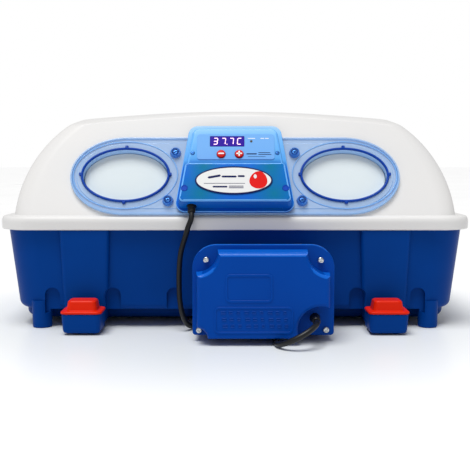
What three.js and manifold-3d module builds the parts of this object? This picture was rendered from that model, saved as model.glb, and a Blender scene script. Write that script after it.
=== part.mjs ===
// A table-top egg incubator: a moulded base tub with a sliding egg tray, a geared motor box on
// its front wall, and a lift-off domed lid that holds the heater, fan, windows and control unit.
// Millimetres, +Z up, front towards -Y. The origin is at the middle of the footprint, on the table.
import * as THREE from "three";
import { mergeVertices } from "three/addons/utils/BufferGeometryUtils.js";
import Module from "manifold-3d";

const wasm = await Module();
wasm.setup();

// Driving dimensions, mm.
const lidLength = 620; // over the lid's flange, along X
const lidDepth = 310; // over the lid's flange, along Y
const crownHeight = 289; // table to the top of the lid
const flangeTop = 147;
const flangeBottom = 130;
const faceSlope = 62; // degrees, the lid's front face from the horizontal
const shellWall = 3;
const tubBottom = 24; // the tub's main floor, above the table
const motorReach = 90; // the motor box's cover in front of the lid's flange
const cordDiameter = 7;
const gap = 0.3; // between pieces that touch
const eggPitch = 55.5; // from one divider to the next
const rackModule = 2.5;
const pinionTeeth = 12;

// Worked-out places.
const boxY = motorReach / 2; // middle of the tub and the lid
const flangeFront = boxY - lidDepth / 2;
const faceFootY = flangeFront + 8; // where the slanted face meets the flange
const slope = THREE.MathUtils.degToRad(faceSlope);
const crownSag = 11; // how far the crown drops towards its ends
const domeFootX = 291;
const domeFootY = lidDepth / 2 - 8;
const domeCorner = 28;

const group = new THREE.Group();
group.name = "egg_incubator";
// Pieces on the slanted face lie in this group: X across, Y up the slope, Z out of the face.
const face = new THREE.Group();
face.position.set(0, faceFootY, flangeTop);
face.rotation.x = slope;
group.add(face);

const paint = (color, roughness, metalness = 0) =>
  new THREE.MeshStandardMaterial({ color, roughness, metalness });
const finishes = {
  tubBlue: () => paint(0x01368a, 0.35),
  motorBlue: () => paint(0x0a4fb4, 0.32),
  lidWhite: () => paint(0xeeeeee, 0.4),
  panelBlue: () => paint(0x9cc4ee, 0.2),
  ringBlue: () => paint(0x0b3889, 0.3),
  housingBlue: () => paint(0x2f78d0, 0.15),
  pane: () => paint(0xdfe9ee, 0.2),
  orange: () => paint(0xe03a14, 0.4),
  red: () => paint(0xd8261c, 0.35),
  black: () => paint(0x151515, 0.6),
  steel: () => paint(0xc4c6c8, 0.3, 1),
  grey: () => paint(0x8f979c, 0.5),
  board: () => paint(0x1d6b45, 0.6),
  label: () => paint(0xb5d5f5, 0.5),
  screen: () => paint(0x3c1f70, 0.2),
  white: () => paint(0xf4f4f2, 0.5),
};

function addMesh(name, geometry, finish, parent = group) {
  const mesh = new THREE.Mesh(geometry, finishes[finish]());
  mesh.name = name;
  parent.add(mesh);
  return mesh;
}

// Solids: a closed geometry becomes one, is joined or cut, and comes back as a geometry.
function solidOf(geometry) {
  const plain = geometry.clone();
  plain.deleteAttribute("normal");
  plain.deleteAttribute("uv");
  const merged = mergeVertices(plain, 1e-4);
  const vertProperties = new Float32Array(merged.attributes.position.array);
  const triVerts = new Uint32Array(merged.index.array);
  return new wasm.Manifold(new wasm.Mesh({ numProp: 3, vertProperties, triVerts }));
}

function geometryOf(solid) {
  const mesh = solid.getMesh();
  const geometry = new THREE.BufferGeometry();
  geometry.setAttribute("position", new THREE.BufferAttribute(mesh.vertProperties, 3));
  geometry.setIndex(new THREE.BufferAttribute(mesh.triVerts, 1));
  geometry.computeVertexNormals();
  return geometry;
}

const joined = (geometries) =>
  geometryOf(geometries.map(solidOf).reduce((sum, one) => sum.add(one)));

const cutBy = (geometry, tools) =>
  geometryOf(tools.map(solidOf).reduce((rest, tool) => rest.subtract(tool), solidOf(geometry)));

// Shapes.
function roundedRect(width, height, radius, centreX = 0, centreY = 0) {
  const left = centreX - width / 2;
  const low = centreY - height / 2;
  const shape = new THREE.Shape();
  shape.moveTo(left + radius, low);
  shape.lineTo(left + width - radius, low);
  shape.absarc(left + width - radius, low + radius, radius, -Math.PI / 2, 0);
  shape.lineTo(left + width, low + height - radius);
  shape.absarc(left + width - radius, low + height - radius, radius, 0, Math.PI / 2);
  shape.lineTo(left + radius, low + height);
  shape.absarc(left + radius, low + height - radius, radius, Math.PI / 2, Math.PI);
  shape.lineTo(left, low + radius);
  shape.absarc(left + radius, low + radius, radius, Math.PI, Math.PI * 1.5);
  return shape;
}

function ovalShape(halfWidth, halfHeight, centreX = 0, centreY = 0) {
  const shape = new THREE.Shape();
  shape.absellipse(centreX, centreY, halfWidth, halfHeight, 0, 2 * Math.PI);
  return shape;
}

// A shape pushed along +Z from one height to another.
function slab(shape, low, high, curveSegments = 3) {
  const settings = { depth: high - low, bevelEnabled: false, curveSegments };
  return new THREE.ExtrudeGeometry(shape, settings).translate(0, 0, low);
}

const block = (xs, ys, zs) =>
  new THREE.BoxGeometry(xs[1] - xs[0], ys[1] - ys[0], zs[1] - zs[0]).translate(
    (xs[0] + xs[1]) / 2,
    (ys[0] + ys[1]) / 2,
    (zs[0] + zs[1]) / 2,
  );

// A cylinder or cone along +Z.
const post = (x, y, low, high, radius, topRadius = radius, sides = 20) =>
  new THREE.CylinderGeometry(topRadius, radius, high - low, sides)
    .rotateX(Math.PI / 2)
    .translate(x, y, (low + high) / 2);

// The same along +Y, from the near end to the far one.
const rod = (x, z, near, far, radius, farRadius = radius, sides = 20) =>
  new THREE.CylinderGeometry(farRadius, radius, far - near, sides).translate(x, (near + far) / 2, z);

// A closed skin through outlines of equal point counts, each counter-clockwise from above.
function loft(outlines) {
  const count = outlines[0].length;
  const positions = outlines.flat().flatMap((p) => [p.x, p.y, p.z]);
  const index = [];
  for (let level = 0; level + 1 < outlines.length; level++)
    for (let i = 0; i < count; i++) {
      const a = level * count + i;
      const b = level * count + ((i + 1) % count);
      index.push(a, b, b + count, a, b + count, a + count);
    }
  const last = (outlines.length - 1) * count;
  for (let i = 1; i + 1 < count; i++)
    index.push(0, i + 1, i, last, last + i, last + i + 1);
  const geometry = new THREE.BufferGeometry();
  geometry.setAttribute("position", new THREE.Float32BufferAttribute(positions, 3));
  geometry.setIndex(index);
  geometry.computeVertexNormals();
  return geometry;
}

// A rounded rectangle's points at one height.
function outline(halfX, halfY, radius, z, centreX = 0, centreY = boxY, steps = 4) {
  const r = Math.min(radius, halfX * 0.95, halfY * 0.95);
  const points = [];
  for (let corner = 0; corner < 4; corner++) {
    const signX = corner === 0 || corner === 3 ? 1 : -1;
    const signY = corner < 2 ? 1 : -1;
    for (let i = 0; i <= steps; i++) {
      const angle = ((corner + i / steps) * Math.PI) / 2;
      const x = centreX + signX * (halfX - r) + r * Math.cos(angle);
      const y = centreY + signY * (halfY - r) + r * Math.sin(angle);
      points.push(new THREE.Vector3(x, y, z));
    }
  }
  return points;
}

// The lesser of two sizes, with the change from one to the other rounded over a band.
function softMin(a, b, band) {
  const share = Math.max(band - Math.abs(a - b), 0) / band;
  return Math.min(a, b) - (share * share * band) / 4;
}

// The lid's dome: half its length and half its depth at a height.
function domeHalfX(z) {
  const endRadius = 150;
  const rise = Math.min(z - flangeTop, endRadius);
  const endArc = domeFootX - endRadius + Math.sqrt(endRadius ** 2 - rise ** 2);
  const crown = 209 * Math.sqrt(Math.max(crownHeight - z, 0) / crownSag);
  return softMin(endArc, crown, 8);
}

function domeHalfY(z) {
  const faceHalf = domeFootY - (z - flangeTop) / Math.tan(slope);
  const crown = 83 * Math.sqrt(Math.max(crownHeight - z, 0) / 6);
  return softMin(faceHalf, crown, 24);
}

const domeLevels = [168, 190, 210, 227, 241, 253, 263, 270, 275.5, 280];
const crownLevels = [283.5, 286, 288, 288.8];

function domeSkin(foot, inset, drop) {
  const levels = [foot, ...domeLevels, ...crownLevels.map((z) => z - drop * 0.4)];
  const outlines = levels
    .filter((z) => z + drop < crownHeight - 0.1)
    .map((z) => {
      const level = Math.max(z + drop, flangeTop);
      return outline(domeHalfX(level) - inset, domeHalfY(level) - inset, domeCorner - inset, z);
    });
  return loft(outlines);
}

// The rim of the lid: a flat flange with a skirt that hangs over the tub's rim.
function flangeSkin() {
  const levels = [
    [flangeBottom, 0.8],
    [flangeBottom + 1.2, 0],
    [flangeTop - 2, 0],
    [flangeTop - 0.6, 0.6],
    [flangeTop, 2],
  ];
  return loft(
    levels.map(([z, inset]) => outline(lidLength / 2 - inset, lidDepth / 2 - inset, 45 - inset, z)),
  );
}

const toFace = (geometry) => {
  face.updateMatrix();
  return geometry.applyMatrix4(face.matrix);
};

// Windows on the face.
const windowX = 144;
const windowS = 58.5; // up the slope
const ringHalfX = 58.5;
const ringHalfS = 40;
const ringWall = 3.2;
const ringFront = 6.5; // in front of the shell
const ringBack = -9.5; // behind the shell's outer skin
const ovalSegments = 14; // the same for a ring and its holes, so that their gap stays even
const fanY = boxY;
const motorBossBottom = 281.3;

function makeLidShell() {
  const inside = domeSkin(flangeTop - 4, shellWall - 0.6, shellWall);
  const rimRoom = slab(
    roundedRect(lidLength - 6, lidDepth - 6, 42, 0, boxY),
    flangeBottom - 1,
    flangeTop - 3.8,
  );
  const hole = (x) =>
    toFace(slab(ovalShape(ringHalfX + gap, ringHalfS + gap, x, windowS), -30, 8, ovalSegments));
  const wireHole = toFace(slab(roundedRect(30, 20, 4, 0, 60), -30, 8));
  const shell = joined([flangeSkin(), domeSkin(flangeTop - 3, 0, 0)]);
  const cut = cutBy(shell, [inside, rimRoom, hole(-windowX), hole(windowX), wireHole]);
  return joined([cut, post(0, fanY, motorBossBottom, crownHeight - 2, 13)]);
}
addMesh("lid_shell", makeLidShell(), "lidWhite");

// The translucent panel on the face, with round screw bosses and a raised edge.
const panelTopS = 114;
const panelBottomS = 1.2;
const panelMiddleS = (panelTopS + panelBottomS) / 2;
const panelHalfS = (panelTopS - panelBottomS) / 2;
const panelHalfX = 216.5;
const panelFront = 3.3;
const bosses = [
  [-79, 90.5],
  [79, 90.5],
  [-87, 20.5],
  [87, 20.5],
];

function panelShape(inset) {
  const endX = panelHalfX - windowX - inset;
  const endS = panelHalfS - inset;
  const shape = new THREE.Shape();
  shape.moveTo(-windowX, panelMiddleS - endS);
  shape.lineTo(windowX, panelMiddleS - endS);
  shape.absellipse(windowX, panelMiddleS, endX, endS, -Math.PI / 2, Math.PI / 2);
  shape.lineTo(-windowX, panelMiddleS + endS);
  shape.absellipse(-windowX, panelMiddleS, endX, endS, Math.PI / 2, Math.PI * 1.5);
  return shape;
}

function makePanel() {
  const edge = cutBy(slab(panelShape(0), gap, 5.5, 12), [slab(panelShape(2.5), panelFront, 9, 12)]);
  const towers = bosses.map(([x, s]) => post(x, s, gap, 9, 6.3, 5.8, 14));
  const wells = bosses.map(([x, s]) => post(x, s, 4.5, 12, 4.4, 4.4, 14));
  const holes = [-windowX, windowX].map((x) =>
    slab(ovalShape(ringHalfX + gap, ringHalfS + gap, x, windowS), -1, 8, ovalSegments),
  );
  return cutBy(joined([edge, ...towers]), [...wells, ...holes]);
}
addMesh("window_panel", makePanel(), "panelBlue", face);

const sides = [
  ["left", -1],
  ["right", 1],
];

// Each window: a dark ring through the shell with a ledge at its back, and a clear pane on it.
for (const [side, sign] of sides) {
  const x = sign * windowX;
  const outer = slab(ovalShape(ringHalfX, ringHalfS, x, windowS), ringBack, ringFront, ovalSegments);
  const bore = slab(
    ovalShape(ringHalfX - ringWall, ringHalfS - ringWall, x, windowS),
    ringBack + 1.5,
    ringFront + 1,
    ovalSegments,
  );
  const ledge = slab(
    ovalShape(ringHalfX - ringWall - 3, ringHalfS - ringWall - 3, x, windowS),
    ringBack - 1,
    ringBack + 2,
    ovalSegments,
  );
  addMesh("window_ring_" + side, cutBy(outer, [bore, ledge]), "ringBlue", face);
  const paneShape = ovalShape(ringHalfX - ringWall - gap, ringHalfS - ringWall - gap, x, windowS);
  const pane = slab(paneShape, ringBack + 1.5 + gap, ringBack + 4, ovalSegments);
  addMesh("window_pane_" + side, pane, "pane", face);
}

// A pan-head screw standing on Z: a domed head, and a shank below it.
function screw(headRadius, headHeight, shankRadius, shankLength) {
  const profile = [
    [0, -shankLength],
    [shankRadius, -shankLength],
    [shankRadius, 0],
    [headRadius, 0],
    [headRadius, headHeight * 0.5],
    [headRadius * 0.7, headHeight],
    [0, headHeight],
  ].map(([r, h]) => new THREE.Vector2(r, h));
  return new THREE.LatheGeometry(profile, 10).rotateX(Math.PI / 2);
}

bosses.forEach(([x, s], i) => {
  const piece = addMesh("panel_screw_" + (i + 1), screw(3.9, 2.6, 1.6, 0.5), "steel", face);
  piece.position.set(x, s, 4.5 + gap + 0.5);
});

// Control unit on the panel: a clear blue cover over a circuit board.
const unitBottomS = 2.8;
const unitTopS = 129.4;
const unitHalfBottom = 78.4;
const unitHalfTop = 60.6;
const unitBack = 6; // clears the panel's raised edge
const upperFront = 14.5;
const lowerFront = 28;
const lowerTopS = 69;
const lowerBottomS = 9;

const unitHalfAt = (s) =>
  unitHalfBottom +
  ((unitHalfTop - unitHalfBottom) * (s - unitBottomS)) / (unitTopS - unitBottomS);

// A trapezium with rounded corners between two places up the slope.
function trapeziumOutline(lowS, highS, inset, radius, z, steps = 3) {
  const low = lowS + inset;
  const high = highS - inset;
  const corners = [
    [unitHalfAt(low) - inset, low],
    [unitHalfAt(high) - inset, high],
    [-unitHalfAt(high) + inset, high],
    [-unitHalfAt(low) + inset, low],
  ].map(([x, y]) => new THREE.Vector2(x, y));
  const points = [];
  corners.forEach((corner, i) => {
    const before = corners[(i + 3) % 4].clone().sub(corner).normalize();
    const after = corners[(i + 1) % 4].clone().sub(corner).normalize();
    const halfAngle = Math.acos(before.dot(after)) / 2;
    const middle = before.clone().add(after).normalize();
    const centre = corner.clone().addScaledVector(middle, radius / Math.sin(halfAngle));
    const start = corner.clone().addScaledVector(before, radius / Math.tan(halfAngle)).sub(centre);
    const turn = Math.PI - 2 * halfAngle;
    for (let k = 0; k <= steps; k++) {
      const arm = start.clone().rotateAround(new THREE.Vector2(), (turn * k) / steps);
      points.push(new THREE.Vector3(centre.x + arm.x, centre.y + arm.y, z));
    }
  });
  return points;
}

const trapezium = (lowS, highS, levels) =>
  loft(levels.map(([z, inset, radius]) => trapeziumOutline(lowS, highS, inset, radius, z)));

const label = { x: 1, s: 94, halfX: 51, halfS: 18.8 };
const screen = { x: -10.4, s: 102.2, halfX: 22.6, halfS: 7.6 };
const buttons = { minus: [-18.2, 83], plus: [5.5, 83] };
const buttonRadius = 5.7;
const unitScrews = [
  [-55.8, 85, upperFront, 2.7],
  [55.8, 85, upperFront, 2.7],
  [-64.5, 27.5, lowerFront, 4.2],
  [64.5, 27.5, lowerFront, 4.2],
];
const relief = { x: -55.5, z: 13.4, low: 0, high: 26 };

function makeHousing() {
  const lip = trapezium(unitBottomS, unitTopS, [
    [unitBack, 0, 13],
    [unitBack + 2.4, 0, 13],
    [unitBack + 3, 0.8, 12.2],
  ]);
  const upper = trapezium(unitBottomS, unitTopS, [
    [unitBack + 1, 4.5, 10],
    [upperFront - 2, 6.5, 9],
    [upperFront, 9, 8],
  ]);
  const lower = trapezium(lowerBottomS - 5, lowerTopS + 1, [
    [unitBack + 1, 4, 5],
    [lowerFront - 2.5, 5.2, 5],
    [lowerFront, 7, 4],
  ]);
  const lipRoom = trapezium(unitBottomS, unitTopS, [
    [unitBack - 1, 3, 10],
    [unitBack + 1.5, 3, 10],
  ]);
  const upperRoom = trapezium(unitBottomS, unitTopS, [
    [unitBack - 1, 7.5, 8],
    [upperFront - 4.2, 9, 7],
    [upperFront - 2.4, 11, 6],
  ]);
  const lowerRoom = trapezium(lowerBottomS - 5, lowerTopS + 1, [
    [unitBack - 1, 6.8, 4],
    [lowerFront - 2.5, 9, 3],
  ]);
  const cuts = [lipRoom, upperRoom, lowerRoom];
  for (const [x, s] of Object.values(buttons))
    cuts.push(post(x, s, unitBack + 2, upperFront + 3, buttonRadius + 0.4, buttonRadius + 0.4, 16));
  cuts.push(
    slab(roundedRect(screen.halfX * 2 + 0.6, screen.halfS * 2 + 0.6, 1, screen.x, screen.s), 8, 20),
  );
  for (const [x, s, front, radius] of unitScrews)
    cuts.push(post(x, s, front - 1.2, front + 4, radius + gap, radius + gap, 10));
  cuts.push(
    new THREE.CylinderGeometry(6.7, 6.7, 34, 12).translate(relief.x, relief.low + 13, relief.z),
  );
  return cutBy(joined([lip, upper, lower]), cuts);
}
addMesh("control_housing", makeHousing(), "housingBlue", face);

const basePlate = trapezium(unitBottomS, unitTopS, [
  [unitBack - 0.2, 3.4, 9.6],
  [unitBack + 1.1, 3.4, 9.6],
]);
addMesh("control_base", basePlate, "panelBlue", face);
addMesh(
  "circuit_board",
  slab(roundedRect(84, 62, 2, 0, 64), unitBack + 1.5, unitBack + 3),
  "board",
  face,
);

const labelFront = upperFront + gap + 0.5;
function makeLabel() {
  const plate = slab(
    roundedRect(label.halfX * 2, label.halfS * 2, 4, label.x, label.s),
    upperFront + gap,
    labelFront,
  );
  const holeRadius = buttonRadius + 0.4;
  const cuts = Object.values(buttons).map(([x, s]) => post(x, s, 10, 20, holeRadius, holeRadius, 16));
  const width = screen.halfX * 2 + 0.6;
  cuts.push(slab(roundedRect(width, screen.halfS * 2 + 0.6, 1, screen.x, screen.s), 8, 20));
  return cutBy(plate, cuts);
}
addMesh("control_label", makeLabel(), "label", face);

const screenBlock = slab(
  roundedRect(screen.halfX * 2, screen.halfS * 2, 1, screen.x, screen.s),
  unitBack + 3.3,
  labelFront + 0.2,
);
addMesh("display", screenBlock, "screen", face);

// Push buttons: a domed cap that stands through the label, with a wider foot inside the cover.
for (const [name, [x, s]] of Object.entries(buttons)) {
  const foot = upperFront - 2.4 - gap;
  const profile = [
    [0, foot - 1.1],
    [buttonRadius + 1.1, foot - 1.1],
    [buttonRadius + 1.1, foot],
    [buttonRadius, foot],
    [buttonRadius, labelFront + 1.2],
    [buttonRadius - 0.9, labelFront + 2],
    [0, labelFront + 2.3],
  ].map(([r, h]) => new THREE.Vector2(r, h));
  const cap = new THREE.LatheGeometry(profile, 16).rotateX(Math.PI / 2);
  addMesh("button_" + name, cap.translate(x, s, 0), "red", face);
}

unitScrews.forEach(([x, s, front, radius], i) => {
  const piece = addMesh("control_screw_" + (i + 1), screw(radius, 1.8, 0.8, 0.3), "steel", face);
  piece.position.set(x, s, front - 1.2 + gap + 0.3);
});

const badge = slab(ovalShape(49.5, 19.8, -1.5, 38), lowerFront + gap, lowerFront + gap + 1.2, 9);
addMesh("badge", badge, "white", face);

const reliefBoot = new THREE.CylinderGeometry(6.2, 4.9, relief.high - relief.low, 12).translate(
  relief.x,
  (relief.low + relief.high) / 2,
  relief.z,
);
addMesh("control_cord_relief", reliefBoot, "black", face);

// Fan, heater and sensor under the crown.
const fanMotorBottom = 256;
const rotorTop = fanMotorBottom - gap;
const guardTop = 230;
addMesh("fan_motor", post(0, fanY, fanMotorBottom, motorBossBottom - gap, 17), "grey");

function makeRotor() {
  const hub = post(0, fanY, rotorTop - 15, rotorTop, 11);
  const blades = Array.from({ length: 6 }, (_, i) => {
    const blade = new THREE.BoxGeometry(36, 17, 1.6);
    blade.rotateX(0.55).translate(26, 0, rotorTop - 7.5);
    return blade.rotateZ((i * Math.PI) / 3).translate(0, fanY, 0);
  });
  return joined([hub, ...blades]);
}
addMesh("fan_rotor", makeRotor(), "black");

const guardRadius = 82;
function makeGuard() {
  const plate = post(0, fanY, guardTop - 2, guardTop, guardRadius, guardRadius, 32);
  const slots = [];
  for (let i = 0; i < 12; i++) {
    const slot = new THREE.BoxGeometry(48, 7, 8).translate(46, 0, guardTop);
    slots.push(slot.rotateZ(((i + 0.5) * Math.PI) / 6).translate(0, fanY, 0));
  }
  const legs = [0, 1, 2, 3].map((i) => {
    const angle = Math.PI / 4 + (i * Math.PI) / 2;
    const x = 76 * Math.cos(angle);
    return post(x, fanY + 76 * Math.sin(angle), guardTop - 1, 281.6, 3.5, 3.5, 8);
  });
  return joined([cutBy(plate, slots), ...legs]);
}
addMesh("fan_guard", makeGuard(), "white");

const heaterRadius = 60;
const heaterRing = new THREE.TorusGeometry(heaterRadius, 4, 6, 26).translate(0, fanY, 246);
const heaterPosts = [-1, 1].map((sign) =>
  post(sign * heaterRadius, fanY, 246, 283.9, 2.2, 2.2, 8),
);
addMesh("heater", joined([heaterRing, ...heaterPosts]), "steel");

const probeProfile = [
  [0, 200],
  [3, 201],
  [4, 204],
  [4, 216],
  [2.2, 220],
  [2.2, 281.6],
  [0, 281.6],
].map(([r, h]) => new THREE.Vector2(r, h));
const probe = new THREE.LatheGeometry(probeProfile, 10).rotateX(Math.PI / 2);
addMesh("temperature_sensor", probe.translate(112, fanY, 0), "steel");

// Base tub.
const rimTop = flangeTop - 4.3;
const tubCorner = 45;
const tubWall = 3.5;
const tubHalfX = (z) => 303 - (flangeBottom - Math.min(z, flangeBottom)) * 0.11;
const tubHalfY = (z) => 146 - (flangeBottom - Math.min(z, flangeBottom)) * 0.04;
const innerFloor = 28;
const nichePitch = 79.7;
const nicheHalf = 9.8;
const nicheSpring = 44; // height where the niche's arch starts
const footX = 255.4;
const footY = flangeFront + 23;
const footRadius = 13.3;
const ductX = 194.5;
const cupHalf = 25.2;
const cupTop = 27;
const cupFront = flangeFront - 35;
const cupBack = flangeFront + 10;
const channel = { inner: 40, outer: 288, halfY: 105, bottom: 6 };
const wallFrontY = boxY - 146;

function roundedFoot(z, inset) {
  return outline(tubHalfX(z) - inset, tubHalfY(z) - inset, tubCorner - inset, z);
}

function makeTub() {
  const edge = 8;
  const lower = [0, 0.25, 0.5, 0.75, 1].map((t) => {
    const angle = (t * Math.PI) / 2;
    return roundedFoot(tubBottom + edge * (1 - Math.cos(angle)), edge * (1 - Math.sin(angle)));
  });
  const outside = loft([...lower, roundedFoot(flangeBottom, 0), roundedFoot(rimTop, 0)]);
  const inside = loft([
    roundedFoot(innerFloor, tubWall + 3),
    roundedFoot(innerFloor + 3, tubWall),
    roundedFoot(flangeBottom, tubWall),
    roundedFoot(rimTop + 1, tubWall),
  ]);
  const adds = [outside];
  const hollows = [inside];
  const liners = [];
  const cuts = [];
  const mirrorY = (y) => 2 * boxY - y;
  for (const sign of [-1, 1]) {
    // A water channel hangs below the floor on each side.
    const midX = (sign * (channel.inner + channel.outer)) / 2;
    const halfX = (channel.outer - channel.inner) / 2;
    adds.push(
      loft([
        outline(halfX - 9, channel.halfY - 9, 22, channel.bottom, midX),
        outline(halfX - 3, channel.halfY - 3, 27, channel.bottom + 3, midX),
        outline(halfX, channel.halfY, 30, channel.bottom + 10, midX),
        outline(halfX, channel.halfY, 30, innerFloor, midX),
      ]),
    );
    hollows.push(
      loft([
        outline(halfX - 11, channel.halfY - 11, 20, channel.bottom + 3, midX),
        outline(halfX - 3.5, channel.halfY - 3.5, 26.5, channel.bottom + 10, midX),
        outline(halfX - 3.5, channel.halfY - 3.5, 26.5, innerFloor + 1, midX),
      ]),
    );
    // The filler cup in front of the wall, and the duct that joins it to the channel.
    const x = sign * (ductX - 1);
    const cupY = (cupFront + cupBack) / 2;
    const cupHalfY = (cupBack - cupFront) / 2;
    adds.push(
      loft([
        outline(cupHalf - 4, cupHalfY - 4, 5, 2.6, x, cupY, 3),
        outline(cupHalf - 1.4, cupHalfY - 1.4, 6, 5, x, cupY, 3),
        outline(cupHalf, cupHalfY, 7, cupTop, x, cupY, 3),
      ]),
      block([x - 22, x + 22], [cupBack - 8, boxY - channel.halfY + 12], [8, innerFloor]),
    );
    cuts.push(
      loft([
        outline(cupHalf - 4.2, cupHalfY - 4.2, 4, 7, x, cupY, 3),
        outline(cupHalf - 2.6, cupHalfY - 2.6, 4.4, cupTop + 1, x, cupY, 3),
      ]),
      block([x - 19, x + 19], [cupBack - 12, boxY - channel.halfY + 13], [11, 22]),
    );
    // A shallow bulge runs up the wall above the cup.
    const bulge = (z, inset, half) =>
      outline(half - inset, 20 - inset, 5, z, sign * ductX, boxY - tubHalfY(z) + 13);
    adds.push(
      loft([bulge(tubBottom + 1, 3, 28.5), bulge(tubBottom + 5, 0, 28.8), bulge(129.5, 0, 32.5)]),
    );
    hollows.push(loft([bulge(innerFloor + 3, 3.5, 28.8), bulge(129.5, 3.5, 32.5), bulge(132, 4.5, 32.5)]));
    for (const y of [footY, mirrorY(footY)])
      adds.push(post(sign * footX, y, 0, 36, footRadius - 0.7, footRadius, 20));
  }
  // Arched niches stand along the foot of both long walls.
  for (let i = -3; i <= 3; i++)
    for (const flip of [1, -1]) {
      const arch = new THREE.Shape();
      arch.moveTo(-nicheHalf, tubBottom - 4);
      arch.lineTo(nicheHalf, tubBottom - 4);
      arch.absarc(0, nicheSpring, nicheHalf, 0, Math.PI);
      const tool = slab(arch, 0, 14, 4).rotateX(Math.PI / 2);
      const y = wallFrontY + 9;
      tool.translate(i * nichePitch, y, 0);
      if (flip < 0) tool.rotateZ(Math.PI).translate(0, 2 * boxY, 0);
      cuts.push(tool);
      const nearY = [wallFrontY + 6, wallFrontY + 12];
      const ys = flip > 0 ? nearY : nearY.map(mirrorY).reverse();
      const x = i * nichePitch * flip;
      liners.push(block([x - 13, x + 13], ys, [innerFloor - 1, nicheSpring + 13]));
    }
  // Ribs on the floor carry the egg floor.
  for (const offset of [-116, 116])
    liners.push(block([-230, 230], [boxY + offset - 1.5, boxY + offset + 1.5], [27, 43.7]));
  const shell = cutBy(joined(adds), hollows);
  const shaftHole = rod(pinion.x, pinion.z, wallFrontY - 30, wallFrontY + 30, 5);
  return cutBy(joined([shell, ...liners]), [...cuts, shaftHole]);
}

// The tray's drive, an exact rack and pinion: the pinion's pitch circle rolls on the rack's line.
const pitchRadius = (rackModule * pinionTeeth) / 2;
const rackLine = 67;
const pinion = { x: 34, z: rackLine + pitchRadius };
addMesh("base_tub", makeTub(), "tubBlue");

for (const [side, sign] of sides) {
  const x = sign * (ductX - 1);
  const low = cupTop + gap;
  const midY = (cupFront - 1 + cupBack - 5) / 2;
  const halfY = (cupBack - 5 - cupFront + 1) / 2;
  const brim = loft([
    outline(cupHalf + 0.6, halfY, 7, low, x, midY, 3),
    outline(cupHalf + 0.8, halfY, 7, low + 2, x, midY, 3),
    outline(cupHalf - 0.4, halfY - 1, 6, low + 3.4, x, midY, 3),
  ]);
  const crown = loft([
    outline(19.5, halfY - 5, 6, low + 1, x, midY, 3),
    outline(18, halfY - 6.5, 6, low + 13, x, midY, 3),
    outline(15.5, halfY - 9, 5, low + 16.2, x, midY, 3),
  ]);
  const room = loft([
    outline(17.2, halfY - 7.3, 5, low - 1, x, midY, 3),
    outline(15.6, halfY - 9, 5, low + 12, x, midY, 3),
    outline(14, halfY - 10.5, 4, low + 14, x, midY, 3),
  ]);
  addMesh("filler_cap_" + side, cutBy(joined([brim, crown]), [room]), "orange");
}

// Slotted floor under the eggs.
const floorTop = 46.2;
function makeFloor() {
  const plate = slab(roundedRect(574, 262, 34, 0, boxY), floorTop - 2.2, floorTop);
  const slots = [];
  for (let row = -2; row <= 2; row++)
    for (let column = -2; column <= 2; column++) {
      const x = column * 108;
      const y = boxY + row * 48;
      slots.push(block([x - 45, x + 45], [y - 5, y + 5], [40, 50]));
    }
  return cutBy(plate, slots);
}
addMesh("egg_floor", makeFloor(), "white");

// Sliding tray: a frame with a toothed front rail, and upright dividers between the egg rows.
const trayHalfX = 252;
const trayHalfY = 128;
const trayBottom = floorTop + gap;
const trayTop = trayBottom + 12;
const toothPitch = Math.PI * rackModule;
const toothCount = 15;
const railBack = boxY - trayHalfY + 9;

// One tooth, narrower than half the pitch so that the mesh has play.
function toothShape(height, depth, slack) {
  const lean = Math.tan(THREE.MathUtils.degToRad(20));
  const half = toothPitch / 4 - slack;
  const shape = new THREE.Shape();
  shape.moveTo(-half - depth * lean, -depth);
  shape.lineTo(half + depth * lean, -depth);
  shape.lineTo(half - height * lean, height);
  shape.lineTo(-half + height * lean, height);
  return shape;
}

function makeTray() {
  const outer = slab(roundedRect(trayHalfX * 2, trayHalfY * 2, 20, 0, boxY), trayBottom, trayTop);
  const inner = slab(
    roundedRect(trayHalfX * 2 - 12, trayHalfY * 2 - 18, 14, 0, boxY),
    trayBottom - 1,
    trayTop + 1,
  );
  const rackRoot = rackLine - rackModule * 1.25;
  const halfRack = (toothCount * toothPitch) / 2 + 4;
  const frontY = boxY - trayHalfY;
  const bar = block(
    [pinion.x - halfRack, pinion.x + halfRack],
    [frontY + 0.5, railBack - 0.5],
    [trayTop - 2, rackRoot],
  );
  const teeth = [];
  for (let i = 0; i < toothCount; i++) {
    const tooth = slab(toothShape(rackModule * 0.8, rackModule * 1.35, 0.35), 0, 7, 1);
    tooth.rotateX(Math.PI / 2);
    const x = pinion.x + (i - (toothCount - 1) / 2) * toothPitch;
    teeth.push(tooth.translate(x, railBack - 1, rackLine));
  }
  return joined([cutBy(outer, [inner]), bar, ...teeth]);
}
addMesh("egg_tray", makeTray(), "white");

const dividerCount = 8;
for (let i = 0; i < dividerCount; i++) {
  const x = (i - (dividerCount - 1) / 2) * eggPitch;
  const halfY = trayHalfY - 9 - gap;
  const wall = new THREE.Shape();
  wall.moveTo(boxY - halfY, trayBottom);
  wall.lineTo(boxY + halfY, trayBottom);
  wall.lineTo(boxY + halfY, trayTop + 6);
  wall.lineTo(boxY + halfY - 14, trayTop + 20);
  wall.lineTo(boxY - halfY + 14, trayTop + 20);
  wall.lineTo(boxY - halfY, trayTop + 6);
  const plate = slab(wall, -1.5, 1.5).rotateZ(Math.PI / 2).rotateY(Math.PI / 2);
  addMesh("egg_divider_" + (i + 1), plate.translate(x, 0, 0), "white");
}

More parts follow.
